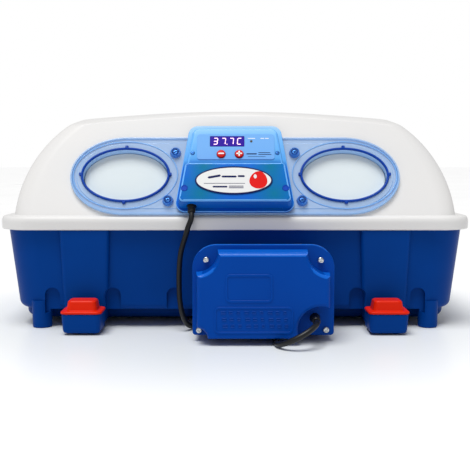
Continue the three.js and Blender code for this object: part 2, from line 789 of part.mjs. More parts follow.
// Pinion, with a gap between teeth where the rack's middle tooth stands.
const shaftRadius = 4;
const pinionNear = boxY - trayHalfY + 0.8;
const pinionFar = railBack - 0.8;
function makePinion() {
  const rootRadius = pitchRadius - rackModule * 1.3;
  const root = rod(pinion.x, pinion.z, pinionNear, pinionFar, rootRadius, rootRadius, 24);
  const teeth = [];
  for (let i = 0; i < pinionTeeth; i++) {
    const shape = toothShape(rackModule * 0.8, rackModule * 1.6, 0.35);
    const tooth = slab(shape, 0, pinionFar - pinionNear, 1).translate(0, pitchRadius, 0);
    tooth.rotateX(Math.PI / 2).rotateY(((i + 0.5) * 2 * Math.PI) / pinionTeeth);
    teeth.push(tooth.translate(pinion.x, pinionFar, pinion.z));
  }
  const boreRadius = shaftRadius + gap;
  const bore = rod(pinion.x, pinion.z, pinionNear - 5, pinionFar + 5, boreRadius, boreRadius, 16);
  return cutBy(joined([root, ...teeth]), [bore]);
}
addMesh("drive_pinion", makePinion(), "white");

// Motor box on the front wall: an open back box, and a cover with a flange plate and a bulge.
const box = { x: 34.3, halfX: 86, bottom: 7.8, top: 119, plateFront: flangeFront - 64 };
const plateBack = box.plateFront + 3;
const coverFront = flangeFront - motorReach;
const boxBack = wallFrontY - gap;
const gearFront = plateBack + 7;

// An upright outline in X and Z: large corners above, small ones below.
function boxShape(inset, topInset = inset) {
  const left = box.x - box.halfX + inset;
  const right = box.x + box.halfX - inset;
  const low = box.bottom + inset;
  const high = box.top - topInset;
  const big = 29 - inset;
  const small = 4;
  const shape = new THREE.Shape();
  shape.moveTo(left + small, low);
  shape.lineTo(right - small, low);
  shape.absarc(right - small, low + small, small, -Math.PI / 2, 0);
  shape.lineTo(right, high - big);
  shape.absarc(right - big, high - big, big, 0, Math.PI / 2);
  shape.lineTo(left + big, high);
  shape.absarc(left + big, high - big, big, Math.PI / 2, Math.PI);
  shape.lineTo(left, low + small);
  shape.absarc(left + small, low + small, small, Math.PI, Math.PI * 1.5);
  return shape;
}

// A shape in X and Z, pushed along Y from the near place to the far one.
const upright = (shape, near, far, segments = 5) =>
  slab(shape, 0, far - near, segments).rotateX(Math.PI / 2).translate(0, far, 0);

// The back box stands inside the edge of the cover's plate, most of all at its top.
const backInset = 1.5;
const backTopInset = 8;
addMesh(
  "motor_box_back",
  cutBy(upright(boxShape(backInset, backTopInset), plateBack + gap, boxBack), [
    upright(boxShape(backInset + 3, backTopInset + 3), plateBack - 1, boxBack - 3),
    rod(pinion.x, pinion.z, boxBack - 10, boxBack + 10, 5),
  ]),
  "motorBlue",
);

const bulge = { x: 33.6, halfX: 80.6, bottom: 7.5, top: 113 };
const coverScrews = [
  [-34.6, 100],
  [103.2, 99.6],
  [-43.6, 14.2],
  [110.6, 14.6],
];
const gland = { x: 97, z: 29 };
const scoops = [
  [bulge.x - bulge.halfX + 1, bulge.top - 2, 25],
  [bulge.x + bulge.halfX - 1, bulge.top - 2, 26],
  [bulge.x - bulge.halfX, bulge.bottom, 13.5],
  [bulge.x + bulge.halfX - 12, bulge.bottom + 12, 26.5],
];

const coverWall = 2.6;
function makeCover() {
  const bulgeSkin = (inset, levels) => {
    const midZ = (bulge.bottom + bulge.top) / 2;
    const halfZ = (bulge.top - bulge.bottom) / 2;
    const skin = loft(
      levels.map(([depth, draw]) =>
        outline(bulge.halfX - inset - draw, halfZ - inset - draw, 7, depth, 0, 0, 3),
      ),
    );
    // The loft's height becomes the way out of the wall, towards -Y.
    return skin.rotateX(Math.PI / 2).translate(bulge.x, 0, midZ);
  };
  const front = -coverFront;
  const back = -plateBack;
  const outer = bulgeSkin(0, [
    [back, 0],
    [front - 4, 2],
    [front - 1.2, 3.2],
    [front, 5.4],
  ]);
  const inner = bulgeSkin(coverWall, [
    [back - 1, 0],
    [front - 4, 2],
    [front - coverWall, 3.4],
  ]);
  const scoopTool = (extra) => ([x, z, radius]) =>
    rod(x, z, coverFront - 20, plateBack + 2, radius + 3 + extra, radius + extra, 26);
  const walled = cutBy(outer, scoops.map(scoopTool(0)));
  const room = cutBy(inner, scoops.map(scoopTool(coverWall)));
  const plate = upright(boxShape(0), box.plateFront, plateBack);
  const holes = coverScrews.map(([x, z]) => rod(x, z, box.plateFront - 1, plateBack + 1, 2.2, 2.2, 8));
  holes.push(rod(gland.x, gland.z, box.plateFront - 1, plateBack + 1, 6.3, 6.3, 16));
  return cutBy(joined([walled, plate]), [room, ...holes]);
}
addMesh("motor_box_cover", makeCover(), "motorBlue");

coverScrews.forEach(([x, z], i) => {
  const piece = addMesh("cover_screw_" + (i + 1), screw(3.8, 2.8, 1.8, 9), "steel");
  piece.rotation.x = Math.PI / 2;
  piece.position.set(x, box.plateFront - gap, z);
});

// Gear motor inside the box; its shaft goes through the tub's front wall to the pinion.
const gearBack = boxBack - 3 - gap;
addMesh(
  "gear_motor",
  joined([
    block([-2, 70], [gearFront, gearBack], [pinion.z - 22, pinion.z + 20]),
    rod(52, 40, gearFront + 2, gearBack - 4, 19.5, 19.5, 24),
    block([40, 62], [gearFront + 2, gearBack - 4], [50, 64]),
  ]),
  "grey",
);
const shaftBody = rod(pinion.x, pinion.z, gearBack + gap, pinionFar, shaftRadius, shaftRadius, 16);
addMesh("drive_shaft", shaftBody, "steel");

// The motor lead's strain relief: a collar behind the plate and a tapered boot in front of it.
const bootLength = 22;
const bootTip = box.plateFront - bootLength;
const reliefProfile = [
  [0, plateBack + 4],
  [6, plateBack + 4],
  [6, box.plateFront - gap],
  [6, box.plateFront - 3],
  [4.8, bootTip],
  [0, bootTip],
].map(([r, y]) => new THREE.Vector2(r, y));
const motorRelief = new THREE.LatheGeometry(reliefProfile.reverse(), 14);
addMesh("motor_cord_relief", motorRelief.translate(gland.x, 0, gland.z), "black");

// Cords. Each lies along hand-chosen points and ends at its coil behind the box.
const cordRadius = cordDiameter / 2;
const cordRest = cordRadius + 0.15; // height of its middle on the table
const coilTurnRadius = 45.5; // the outermost turn
const coilOuter = coilTurnRadius + cordRadius;
const coilColumns = 3;
const coilRows = 2;
const coilY = flangeFront + lidDepth + 8 + coilOuter;
const coilOffset = 60;

function cordTube(points) {
  const path = new THREE.CatmullRomCurve3(points.map((p) => new THREE.Vector3(...p)));
  const section = new THREE.Shape();
  section.absarc(0, 0, cordRadius, 0, Math.PI * 2);
  const steps = Math.round(path.getLength() / (2.2 * cordDiameter));
  const settings = { steps, curveSegments: 4, extrudePath: path, bevelEnabled: false };
  return new THREE.ExtrudeGeometry(section, settings);
}

const coilEntryY = coilY - Math.sqrt(coilOuter ** 2 - (coilTurnRadius - cordRadius) ** 2) - gap;
const entryX = coilOffset - coilTurnRadius; // where a lead runs back under the tub

// The control unit's lead: out of its relief, over the flange, down the front, under the tub.
const slopeDown = new THREE.Vector3(0, -Math.cos(slope), -Math.sin(slope));
const controlExit = new THREE.Vector3(relief.x, relief.low - gap, relief.z);
face.updateMatrix();
controlExit.applyMatrix4(face.matrix);
const controlUpper = [
  controlExit.toArray(),
  controlExit.clone().addScaledVector(slopeDown, 8).toArray(),
  [-59.3, flangeFront - 9.4, 136],
  [-63.4, flangeFront - 10.6, 122],
  [-66.2, flangeFront - 10.9, 113],
];
const controlLower = [
  [-66.3, flangeFront - 10.92, 113 - gap],
  [-69.2, flangeFront - 11.1, 101],
  [-71, flangeFront - 11.4, 82],
  [-71.3, flangeFront - 11.6, 62],
  [-70.6, flangeFront - 11.6, 42],
  [-67.5, flangeFront - 11, 24],
  [-62, flangeFront - 5.5, 10],
  [-55, flangeFront + 6, cordRest + 0.4],
  [-42, flangeFront + 24, cordRest],
  [-26, flangeFront + 50, cordRest],
  [-17, flangeFront + 85, cordRest],
  [-15, flangeFront + 130, cordRest],
  [-14.5, flangeFront + 190, cordRest],
  [-entryX, flangeFront + 250, cordRest],
  [-entryX, coilEntryY - 40, cordRest],
  [-entryX, coilEntryY, cordRest],
];
addMesh("control_cord_upper", cordTube(controlUpper), "black");
addMesh("control_cord_lower", cordTube(controlLower), "black");

// The motor's lead: forward out of its boot, round and down in one wide bend to the table, and
// back under the motor box.
const bendRadius = 27;
const bendStart = bootTip - 2;
const bendDrop = gland.z - cordRest;
const bendAcross = Math.sqrt((2 * bendRadius) ** 2 - bendDrop ** 2);
const underX = gland.x - bendAcross; // where it passes under the box's front
const motorRoute = [[gland.x, bootTip - gap, gland.z]];
for (let i = 0; i <= 8; i++) {
  const turn = (Math.PI * i) / 8;
  const share = (1 - Math.cos(turn)) / 2;
  const out = bendStart - bendRadius * Math.sin(turn);
  motorRoute.push([gland.x - bendAcross * share, out, gland.z - bendDrop * share]);
}
motorRoute.push(
  [underX, bendStart + 12, cordRest],
  [underX - 1.5, bendStart + 34, cordRest],
  [underX - 5.5, bendStart + 62, cordRest],
  [underX - 12, bendStart + 92, cordRest],
  [underX - 20, bendStart + 122, cordRest],
  [underX - 27.5, bendStart + 152, cordRest],
  [underX - 32.5, bendStart + 182, cordRest],
  [entryX + 0.6, bendStart + 214, cordRest],
  [entryX, bendStart + 250, cordRest],
  [entryX, bendStart + 292, cordRest],
  [entryX, coilEntryY - 40, cordRest],
  [entryX, coilEntryY, cordRest],
);
addMesh("motor_cord", cordTube(motorRoute), "black");

// A coil's outer shape, and a flat two-pin plug that lies beside it.
function coilRing(x) {
  const width = coilColumns * cordDiameter;
  const height = coilRows * cordDiameter;
  const low = cordRest - cordRadius;
  const inner = coilOuter - width;
  const cut = 1.5;
  const profile = [
    [inner + cut, low],
    [coilOuter - cut, low],
    [coilOuter, low + cut],
    [coilOuter, low + height - cut],
    [coilOuter - cut, low + height],
    [inner + cut, low + height],
    [inner, low + height - cut],
    [inner, low + cut],
    [inner + cut, low],
  ].map(([r, h]) => new THREE.Vector2(r, h));
  return new THREE.LatheGeometry(profile, 30).rotateX(Math.PI / 2).translate(x, coilY, 0);
}

const plugRest = 8.4;
function plug(x, y, turn) {
  const body = loft([
    outline(4.6, 4.6, 4.3, 0, 0, 0, 3),
    outline(5.6, 5.2, 4.6, 20, 0, 0, 3),
    outline(14, 7, 5, 26, 0, 0, 3),
    outline(17.5, 8, 5, 36, 0, 0, 3),
    outline(17.5, 8, 5, 56, 0, 0, 3),
    outline(16.5, 7, 4, 58, 0, 0, 3),
  ]);
  const pins = [-9.5, 9.5].map((offset) => post(offset, 0, 55, 77, 2.4, 2.1, 12));
  const whole = joined([body, ...pins]).rotateX(-Math.PI / 2).rotateZ(turn);
  return whole.translate(x, y, plugRest);
}

for (const [name, sign] of [
  ["control", -1],
  ["motor", 1],
]) {
  const x = sign * coilOffset;
  addMesh(name + "_cord_coil", coilRing(x), "black");
  const plugX = x + sign * (Math.sqrt(coilOuter ** 2 - (coilTurnRadius - 4.6) ** 2) + gap);
  addMesh(name + "_plug", plug(plugX, coilY + coilTurnRadius, (-sign * Math.PI) / 2), "black");
}

export default group;
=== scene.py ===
# A table-top egg incubator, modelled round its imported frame. Sizes in the dictionaries are
# millimetres; meshes are made in metres in the frame's own axes, +Z up and the front towards -Y.
import math
import bmesh
import bpy
from mathutils import Matrix, Vector


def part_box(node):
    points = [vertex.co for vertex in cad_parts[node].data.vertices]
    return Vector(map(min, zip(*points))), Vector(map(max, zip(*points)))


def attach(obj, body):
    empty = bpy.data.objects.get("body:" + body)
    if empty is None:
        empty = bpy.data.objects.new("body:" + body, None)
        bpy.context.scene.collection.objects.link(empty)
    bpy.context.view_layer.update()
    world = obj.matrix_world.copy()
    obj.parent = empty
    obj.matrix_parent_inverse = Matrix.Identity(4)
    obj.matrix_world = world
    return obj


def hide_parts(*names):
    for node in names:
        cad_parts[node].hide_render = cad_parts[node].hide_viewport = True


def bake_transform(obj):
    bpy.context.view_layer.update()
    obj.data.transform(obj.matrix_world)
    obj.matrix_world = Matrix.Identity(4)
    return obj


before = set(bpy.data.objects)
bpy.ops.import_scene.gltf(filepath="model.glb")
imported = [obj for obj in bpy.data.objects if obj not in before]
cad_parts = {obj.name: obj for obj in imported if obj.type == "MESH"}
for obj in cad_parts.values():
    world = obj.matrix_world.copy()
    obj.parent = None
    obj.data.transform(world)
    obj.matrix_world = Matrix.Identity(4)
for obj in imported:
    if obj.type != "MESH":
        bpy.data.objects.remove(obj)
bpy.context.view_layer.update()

scene = bpy.context.scene
scene.view_settings.view_transform = "Standard"


def span(node):
    low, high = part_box(node)
    return Vector(low) * 1000, Vector(high) * 1000


flangeHeight = 17
faceSetBack = 8  # of the sloping face's foot, behind the flange's front edge
lidLow, lidHigh = span("lid_shell")
centreY = (lidLow.y + lidHigh.y) / 2
front = lidLow.y  # the flange's front edge
flangeFoot = lidLow.z
flangeTop = flangeFoot + flangeHeight
faceSlope = math.radians(62)
faceFoot = Vector((0, front + faceSetBack, flangeTop))
toFace = Matrix.Translation(faceFoot) @ Matrix.Rotation(faceSlope, 4, "X")
faceOut = toFace.to_3x3() @ Vector((0, 0, 1))

# Camera: close, a little above the table, in metres and degrees
view = {"distance": 1.110, "height": 0.221, "tiltDown": 5.539, "lens": 59.95}
camera = bpy.data.objects.new("camera", bpy.data.cameras.new("camera"))
scene.collection.objects.link(camera)
camera.location = (0, -view["distance"], view["height"])
camera.rotation_euler = (math.radians(90 - view["tiltDown"]), 0, 0)
camera.data.lens = view["lens"]
camera.data.sensor_width = 36
scene.camera = camera


# Nodes and colours
def addNode(tree, kind, inputs=None, **settings):
    node = tree.nodes.new(kind)
    for name, value in settings.items():
        setattr(node, name, value)
    for socket, value in (inputs or {}).items():
        if isinstance(value, bpy.types.NodeSocket):
            tree.links.new(value, node.inputs[socket])
        else:
            node.inputs[socket].default_value = value
    return node


def colour(code):  # sRGB hex to the linear colour that shaders take
    parts = [int(code[i : i + 2], 16) / 255 for i in (0, 2, 4)]
    linear = [p / 12.92 if p <= 0.04045 else ((p + 0.055) / 1.055) ** 2.4 for p in parts]
    return (*linear, 1)


surface = {"drift": 70, "roughnessSpread": 0.06, "bumpDepth": 0.0004}  # drift in mm, depth in metres


def finish(name, base, shade, roughness, grain=0.9, bump=0.05, gloss=0.5, alpha=1.0, metal=0.0):
    # Base and shade drift into each other; grain, in millimetres, is the surface's fine texture.
    material = bpy.data.materials.new(name)
    material.use_nodes = True
    tree = material.node_tree
    shader = tree.nodes["Principled BSDF"]
    place = addNode(tree, "ShaderNodeTexCoord").outputs["Object"]
    broad = {"Vector": place, "Scale": 1000 / surface["drift"], "Detail": 2}
    slow = addNode(tree, "ShaderNodeTexNoise", broad)
    tones = {"Factor": slow.outputs["Fac"], "A": colour(base), "B": colour(shade)}
    tint = addNode(tree, "ShaderNodeMix", tones, data_type="RGBA")
    tree.links.new(tint.outputs["Result"], shader.inputs["Base Color"])
    fine = addNode(tree, "ShaderNodeTexNoise", {"Vector": place, "Scale": 1000 / grain, "Detail": 3})
    spread = surface["roughnessSpread"]
    limits = {"Value": fine.outputs["Fac"], "To Min": roughness - spread, "To Max": roughness + spread}
    rough = addNode(tree, "ShaderNodeMapRange", limits)
    tree.links.new(rough.outputs["Result"], shader.inputs["Roughness"])
    grained = {"Height": fine.outputs["Fac"], "Strength": bump, "Distance": surface["bumpDepth"]}
    relief = addNode(tree, "ShaderNodeBump", grained)
    tree.links.new(relief.outputs["Normal"], shader.inputs["Normal"])
    shader.inputs["Specular IOR Level"].default_value = gloss
    shader.inputs["Alpha"].default_value = alpha
    shader.inputs["Metallic"].default_value = metal
    return material


# Polypropylene and ABS: even, softly glossy moulded colours with a fine mould grain
tubBlue = finish("moulded_polypropylene_blue", "003c8c", "00357e", 0.38, 1.4, gloss=0.04)
motorBlue = finish("moulded_abs_blue", "0043a0", "003d96", 0.3, 1.2, gloss=0.05)
# A lighter copy of the motor box's blue, a painted highlight for its top edge
motorPaintedHighlight = finish("moulded_abs_painted_highlight", "0b5ec4", "0858b8", 0.24, 1.2, gloss=0.16)
lidWhite = finish("moulded_abs_white", "d9d7d5", "d3d3d3", 0.4, 1.6, 0.04, 0.3)
capOrange = finish("moulded_polypropylene_orange", "dc2604", "c81c00", 0.36, 1.2, gloss=0.14)
innerWhite = finish("moulded_polystyrene_white", "e6e6e2", "dddcd8", 0.42, 1.4)
# Clear tinted plastics: the lid shows through them. Their darker and lighter edge copies are painted
# light:
# painted shade on the panel's edges and the cover's sides, a painted highlight on the cover's rounded
# edges
panelBlue = finish("clear_polycarbonate_blue", "bcd6f6", "aecdf4", 0.12, 6, 0.02, 0.3, alpha=0.55)
# A darker copy of the panel's blue, a painted shade for its edges and ridges
panelPaintedShade = finish("polycarbonate_painted_edge_shade", "8cc0f4", "7cb3f0", 0.14, 6, 0.02, 0.3, alpha=0.7)
bossBlue = finish("polycarbonate_boss_blue", "3f8be0", "2f7cda", 0.14, 6, 0.02, alpha=0.72)
collarBlue = finish("polycarbonate_collar_blue", "a9cdf5", "97c2f2", 0.15, 6, 0.02)
paneClear = finish("clear_polystyrene_pane", "e2eaec", "dae4e7", 0.14, 8, 0.02, 0.3, alpha=0.88)
housingBlue = finish("clear_abs_deep_blue", "1a6fda", "1264d2", 0.16, 8, 0.02, 0.16, alpha=0.94)
# A lighter copy of the cover's blue, a painted highlight, and a darker copy, a painted shade, for its
# edges
housingPaintedHighlight = finish("clear_abs_painted_highlight", "6fb8fa", "5fadf6", 0.14, 8, 0.02, 0.4, alpha=0.92)
housingPaintedShade = finish("clear_abs_painted_shade", "0c68c8", "0a5ebc", 0.16, 8, 0.02, 0.16, alpha=0.92)
# Seals and caps: dense navy that barely shines
ringBlue = finish("rubber_seal_navy", "0440a0", "033894", 0.35, 1.2, gloss=0.15)
edgeNavy = finish("screw_cap_blue", "0846b4", "063ea4", 0.25, 2, 0.02, 0.15)
# Rubber, cord and nylon: matt, with a grain that breaks up the light
buttonRed = finish("silicone_red", "ce1206", "c00e04", 0.4, 0.8, gloss=0.15)
cordBlack = finish("pvc_cord_black", "121314", "0c0d0e", 0.4, 1.0, 0.12, 0.35)
rotorBlack = finish("moulded_nylon_black", "1b1b1c", "131314", 0.45, 1.0)
# Metals: bright plated heads; heads sunk in the blue plastic, painted darker and blue as painted shade and
# a painted reflection of the plastic round them; sheath and casting
screwSteel = finish("zinc_plated_steel", "d2d4d5", "bfc2c4", 0.26, 0.8, metal=1.0)
steelPaintedShade = finish("steel_painted_shade_blue", "4f8ad0", "2f6ab8", 0.3, 0.8, metal=0.8)
heaterSteel = finish("drawn_steel_sheath", "a8a39c", "8e8a86", 0.34, 0.8, metal=1.0)
motorGrey = finish("cast_zinc_grey", "8f979c", "7f868b", 0.45, 0.9, 0.1, metal=0.6)
# Board, printed films and the display: flat, even ink, and digits that glow
boardGreen = finish("fibreglass_board_green", "0f7a52", "0c6a46", 0.45)
labelBlue = finish("printed_film_light_blue", "70aae6", "66a2e2", 0.4, 1.6, 0.02, 0.15)
signWhite = finish("printed_white", "f0f0ee", "e9e9e7", 0.5, 0.8)
badgeNavy = finish("printed_film_navy", "040f50", "030c46", 0.4, 1.6, 0.02, 0.1)
badgeRed = finish("printed_film_red", "d80802", "ce0601", 0.4, 1.6, 0.02, 0.1)
badgeWhite = finish("printed_film_white", "dededd", "d9dada", 0.4, 1.6, 0.02, 0.1)
screenDark = finish("smoked_acrylic_screen", "34189c", "2c1290", 0.2, 2, 0.01, 0.08)
digitGlow = finish("lit_display_segment", "ffd9ea", "ffd2e6", 0.3, 2, 0.0)
digitShader = digitGlow.node_tree.nodes["Principled BSDF"]
digitShader.inputs["Emission Color"].default_value = colour("ffc8de")
digitShader.inputs["Emission Strength"].default_value = 0.8

# The control unit's cover is deep blue over the lower box and lightens above it, where the pale film lies
# behind;
# the board's green shows beside the badge. Above the film it lightens further to the cover's top edge, a
# painted highlight. Heights run up the sloping face.
coverTonesAndPaintedHighlight = [(2, "0548b2"), (9, "0850bc"), (13, "0f60c6"), (62, "1569cc"), (67.5, "1d74d6")]
# The stops from 112 up to the top edge are a painted highlight
coverTonesAndPaintedHighlight += [(69.5, "2a7ad0"), (77, "58a6ea"), (112, "7cbcf3"), (128, "a2d0f8")]
boardGlow = {
    "green": "007a62",
    "share": 0.6,
    "depth": 28,
    "spots": [(-44, 20, 34), (50, 20, 34), (-40, 58, 24), (46, 58, 26)],  # across, up, reach
}


def addCoverTonesAndPaintedHighlight():
    tree = housingBlue.node_tree
    place = addNode(tree, "ShaderNodeTexCoord").outputs["Object"]
    upFace = (0, math.cos(faceSlope), math.sin(faceSlope))
    foot = Vector(upFace).dot(faceFoot) / 1000
    height = addNode(tree, "ShaderNodeVectorMath", {0: place, 1: upFace}, operation="DOT_PRODUCT")
    low, high = coverTonesAndPaintedHighlight[0][0], coverTonesAndPaintedHighlight[-1][0]
    limits = {"From Min": foot + low / 1000, "From Max": foot + high / 1000}
    share = addNode(tree, "ShaderNodeMapRange", {"Value": height.outputs["Value"], **limits})
    ramp = addNode(tree, "ShaderNodeValToRGB", {"Fac": share.outputs["Result"]})
    marks = ramp.color_ramp.elements
    while len(marks) < len(coverTonesAndPaintedHighlight):
        marks.new(0.5)
    for mark, (level, code) in zip(marks, coverTonesAndPaintedHighlight):
        mark.position = (level - low) / (high - low)
        mark.color = colour(code)
    tone = ramp.outputs["Color"]
    for x, level, reach in boardGlow["spots"]:
        spot = toFace @ Vector((x, level, boardGlow["depth"])) / 1000
        away = addNode(tree, "ShaderNodeVectorMath", {0: place, 1: spot}, operation="DISTANCE")
        limits = {"From Min": reach / 1000, "From Max": 0.0, "To Max": boardGlow["share"]}
        near = addNode(tree, "ShaderNodeMapRange", {"Value": away.outputs["Value"], **limits})
        mixed = {"Factor": near.outputs["Result"], "A": tone, "B": colour(boardGlow["green"])}
        tone = addNode(tree, "ShaderNodeMix", mixed, data_type="RGBA").outputs["Result"]
    tree.links.new(tone, tree.nodes["Principled BSDF"].inputs["Base Color"])


addCoverTonesAndPaintedHighlight()
print("materials made")


# Mesh helpers
def newPiece(name, points, faces, material, place=None):
    # Points are millimetres, in the frame's axes or in the axes of the place given.
    data = bpy.data.meshes.new(name)
    data.from_pydata([tuple(p) for p in points], [], faces)
    work = bmesh.new()
    work.from_mesh(data)
    bmesh.ops.remove_doubles(work, verts=work.verts, dist=1e-4)
    bmesh.ops.recalc_face_normals(work, faces=work.faces)
    work.to_mesh(data)
    work.free()
    if place is not None:
        data.transform(place)
    data.transform(Matrix.Scale(0.001, 4))
    piece = bpy.data.objects.new(name, data)
    scene.collection.objects.link(piece)
    data.materials.append(material)
    return piece


def loft(outlines, ring=False):
    # A skin through outlines of equal count, closed by end faces, or into a ring.
    count = len(outlines[0])
    points = [p for outline in outlines for p in outline]
    faces = []
    pairs = [(i, i + 1) for i in range(len(outlines) - 1)]
    if ring:
        pairs.append((len(outlines) - 1, 0))
    for low, high in pairs:
        for i in range(count):
            j = (i + 1) % count
            faces.append((low * count + i, low * count + j, high * count + j, high * count + i))
    if not ring:
        faces.append(tuple(range(count))[::-1])
        faces.append(tuple(range((len(outlines) - 1) * count, len(outlines) * count)))
    return points, faces


def roundedOutline(halfX, halfY, corner, z, centre=(0, 0), steps=12):
    # A level rounded rectangle; its corner is a radius, or two for elliptical corners.
    rx, ry = corner if isinstance(corner, tuple) else (corner, corner)
    rx, ry = min(rx, halfX * 0.999), min(ry, halfY * 0.999)
    points = []
    for quarter, (sx, sy) in enumerate(((1, 1), (-1, 1), (-1, -1), (1, -1))):
        for i in range(steps + 1):
            angle = (quarter + i / steps) * math.pi / 2
            x = centre[0] + sx * (halfX - rx) + rx * math.cos(angle)
            y = centre[1] + sy * (halfY - ry) + ry * math.sin(angle)
            points.append((x, y, z))
    return points


def cornered(left, right, low, high, radii, depth, steps):
    # An upright outline in X and Z at one place along Y; radii run from lower left, round.
    points = []
    corners = [(left, low, 2), (right, low, 3), (right, high, 0), (left, high, 1)]
    for (x, z, quarter), radius in zip(corners, radii):
        sx = 1 if x == left else -1
        sz = 1 if z == low else -1
        for i in range(steps + 1):
            angle = (quarter + i / steps) * math.pi / 2
            px = x + sx * radius + radius * math.cos(angle)
            points.append((px, depth, z + sz * radius + radius * math.sin(angle)))
    return points


def ovalOutline(halfX, halfY, z, centre, steps):
    turns = [2 * math.pi * i / steps for i in range(steps)]
    return [(centre[0] + halfX * math.cos(a), centre[1] + halfY * math.sin(a), z) for a in turns]


def lathe(profile, steps, centre):
    # A profile of (radius, height) that starts and ends on the axis, turned about Z.
    nearAxis = 1e-3
    radii = [(max(radius, nearAxis), height) for radius, height in profile]
    return loft([ovalOutline(radius, radius, height, centre, steps) for radius, height in radii])


def quarterArc(radius, steps=5):
    # Pairs (inset, rise) from a side wall round to a face: inset grows to radius as rise does.
    turns = [math.pi / 2 * i / steps for i in range(steps + 1)]
    return [(radius * (1 - math.cos(a)), radius * math.sin(a)) for a in turns]


def smoothStep(share):
    share = min(max(share, 0), 1)
    return share * share * (3 - 2 * share)


def evaluated(piece):
    # The piece with its modifiers made part of its mesh.
    bpy.context.view_layer.update()
    graph = bpy.context.evaluated_depsgraph_get()
    data = bpy.data.meshes.new_from_object(piece.evaluated_get(graph))
    piece.modifiers.clear()
    old = piece.data
    piece.data = data
    bpy.data.meshes.remove(old)
    return piece


def shaped(piece, joins, cuts):
    # Joins solids to the piece, then cuts others out of it.
    for operation, tools in (("UNION", joins), ("DIFFERENCE", cuts)):
        for tool in tools:
            step = piece.modifiers.new(operation.lower(), "BOOLEAN")
            step.operation = operation
            step.solver = "MANIFOLD"
            step.object = tool
    evaluated(piece)
    for tool in (*joins, *cuts):
        bpy.data.objects.remove(tool)
    return piece


def smoothed(piece, degrees, bevel=0.0):
    # Rounds edges sharper than the angle where a bevel is given, and shades the rest smooth.
    limit = math.radians(degrees)
    if bevel:
        edge = piece.modifiers.new("edge", "BEVEL")
        edge.width = bevel / 1000
        edge.segments = 2
        edge.limit_method = "ANGLE"
        edge.angle_limit = limit
        evaluated(piece)
    work = bmesh.new()
    work.from_mesh(piece.data)
    for face in work.faces:
        face.smooth = True
    for edge in work.edges:
        edge.smooth = len(edge.link_faces) == 2 and edge.calc_face_angle(0) < limit
    work.to_mesh(piece.data)
    work.free()
    weigh = piece.modifiers.new("weigh", "WEIGHTED_NORMAL")
    weigh.keep_sharp = True
    return evaluated(piece)


def paintByTilt(piece, out, low, high, material):
    # Gives a second material to the faces tilted between low and high degrees from a direction; here that
    # paints highlights and shade by tilt.
    piece.data.materials.append(material)
    slot = len(piece.data.materials) - 1
    for face in piece.data.polygons:
        tilt = math.degrees(face.normal.angle(out, 0))
        if low < tilt < high:
            face.material_index = slot
    return piece


def fitted(piece, body, nodes=()):
    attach(piece, body)
    if nodes:
        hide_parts(*nodes)
    return piece


def joinedPiece(name, pieces):
    # Several meshes as one piece, each keeping its own material.
    work = bmesh.new()
    data = bpy.data.meshes.new(name)
    for piece in pieces:
        for material in piece.data.materials:
            if material.name not in [m.name for m in data.materials]:
                data.materials.append(material)
    names = [m.name for m in data.materials]
    for piece in pieces:
        part = piece.data.copy()
        slots = [names.index(m.name) for m in part.materials]
        for face in part.polygons:
            face.material_index = slots[face.material_index]
        work.from_mesh(part)
        bpy.data.meshes.remove(part)
        bpy.data.objects.remove(piece)
    work.to_mesh(data)
    work.free()
    whole = bpy.data.objects.new(name, data)
    scene.collection.objects.link(whole)
    return whole


def joinedFitted(name, pieces, degrees, body, nodes=()):
    return fitted(smoothed(joinedPiece(name, pieces), degrees), body, nodes)


def onFace(x, s, d):
    return toFace @ Vector((x, s, d))


def laidPlace(x, y, z, towards):
    # A place whose Z axis lies along Y: to the back for -1, to the front for 1.
    return Matrix.Translation((x, y, z)) @ Matrix.Rotation(towards * math.pi / 2, 4, "X")


def faceSolid(name, outlines, material):
    return newPiece(name, *loft(outlines), material, toFace)


def turnedSolid(name, profile, steps, material, place=None, centre=(0, 0)):
    return newPiece(name, *lathe(profile, steps, centre), material, place)


def rod(name, radius, low, high, steps, material, place=None, centre=(0, 0)):
    profile = [(0, low), (radius, low), (radius, high), (0, high)]
    return turnedSolid(name, profile, steps, material, place, centre)


def facePost(x, s, low, high, radius, material):
    return rod("post", radius, low, high, 36, material, toFace, (x, s))


# Cords: a round lead along given points, then round its coil to the plug
leads = {
    "diameter": 7.0,
    "length": 1800.0,
    "rest": 3.65,  # height of the middle of a lead that lies on the table
    "coilRadius": 45.5,  # the outermost turn
    "coilX": 60.0,
    "coilY": 257.0,
    "coilTurns": 5.25,
    "turnsDown": 2.5,  # turns inwards on the table, before the lead climbs on top of them
    "climb": 0.5,  # of a turn
    "entryY": 231.46,
    "plugX": 87.3,
    "plugRest": 8.4,
    "sides": 14,
    "spacing": 3.0,  # between sections of the tube
}


def catmullRom(points, spacing):
    # A centripetal curve through the points, sampled about evenly.
    pts = [Vector(p) for p in points]
    pts = [2 * pts[0] - pts[1], *pts, 2 * pts[-1] - pts[-2]]
    line = []
    for a, b, c, d in zip(pts, pts[1:], pts[2:], pts[3:]):
        t0, t1, t2 = (max((q - p).length, 1e-6) ** 0.5 for p, q in ((a, b), (b, c), (c, d)))
        m1 = ((b - a) / t0 - (c - a) / (t0 + t1) + (c - b) / t1) * t1
        m2 = ((c - b) / t1 - (d - b) / (t1 + t2) + (d - c) / t2) * t1
        steps = max(2, round((c - b).length / spacing))
        for i in range(steps):
            u = i / steps
            p = (2 * u**3 - 3 * u**2 + 1) * b + (u**3 - 2 * u**2 + u) * m1
            line.append(p + (-2 * u**3 + 3 * u**2) * c + (u**3 - u**2) * m2)
    line.append(pts[-2])
    return line


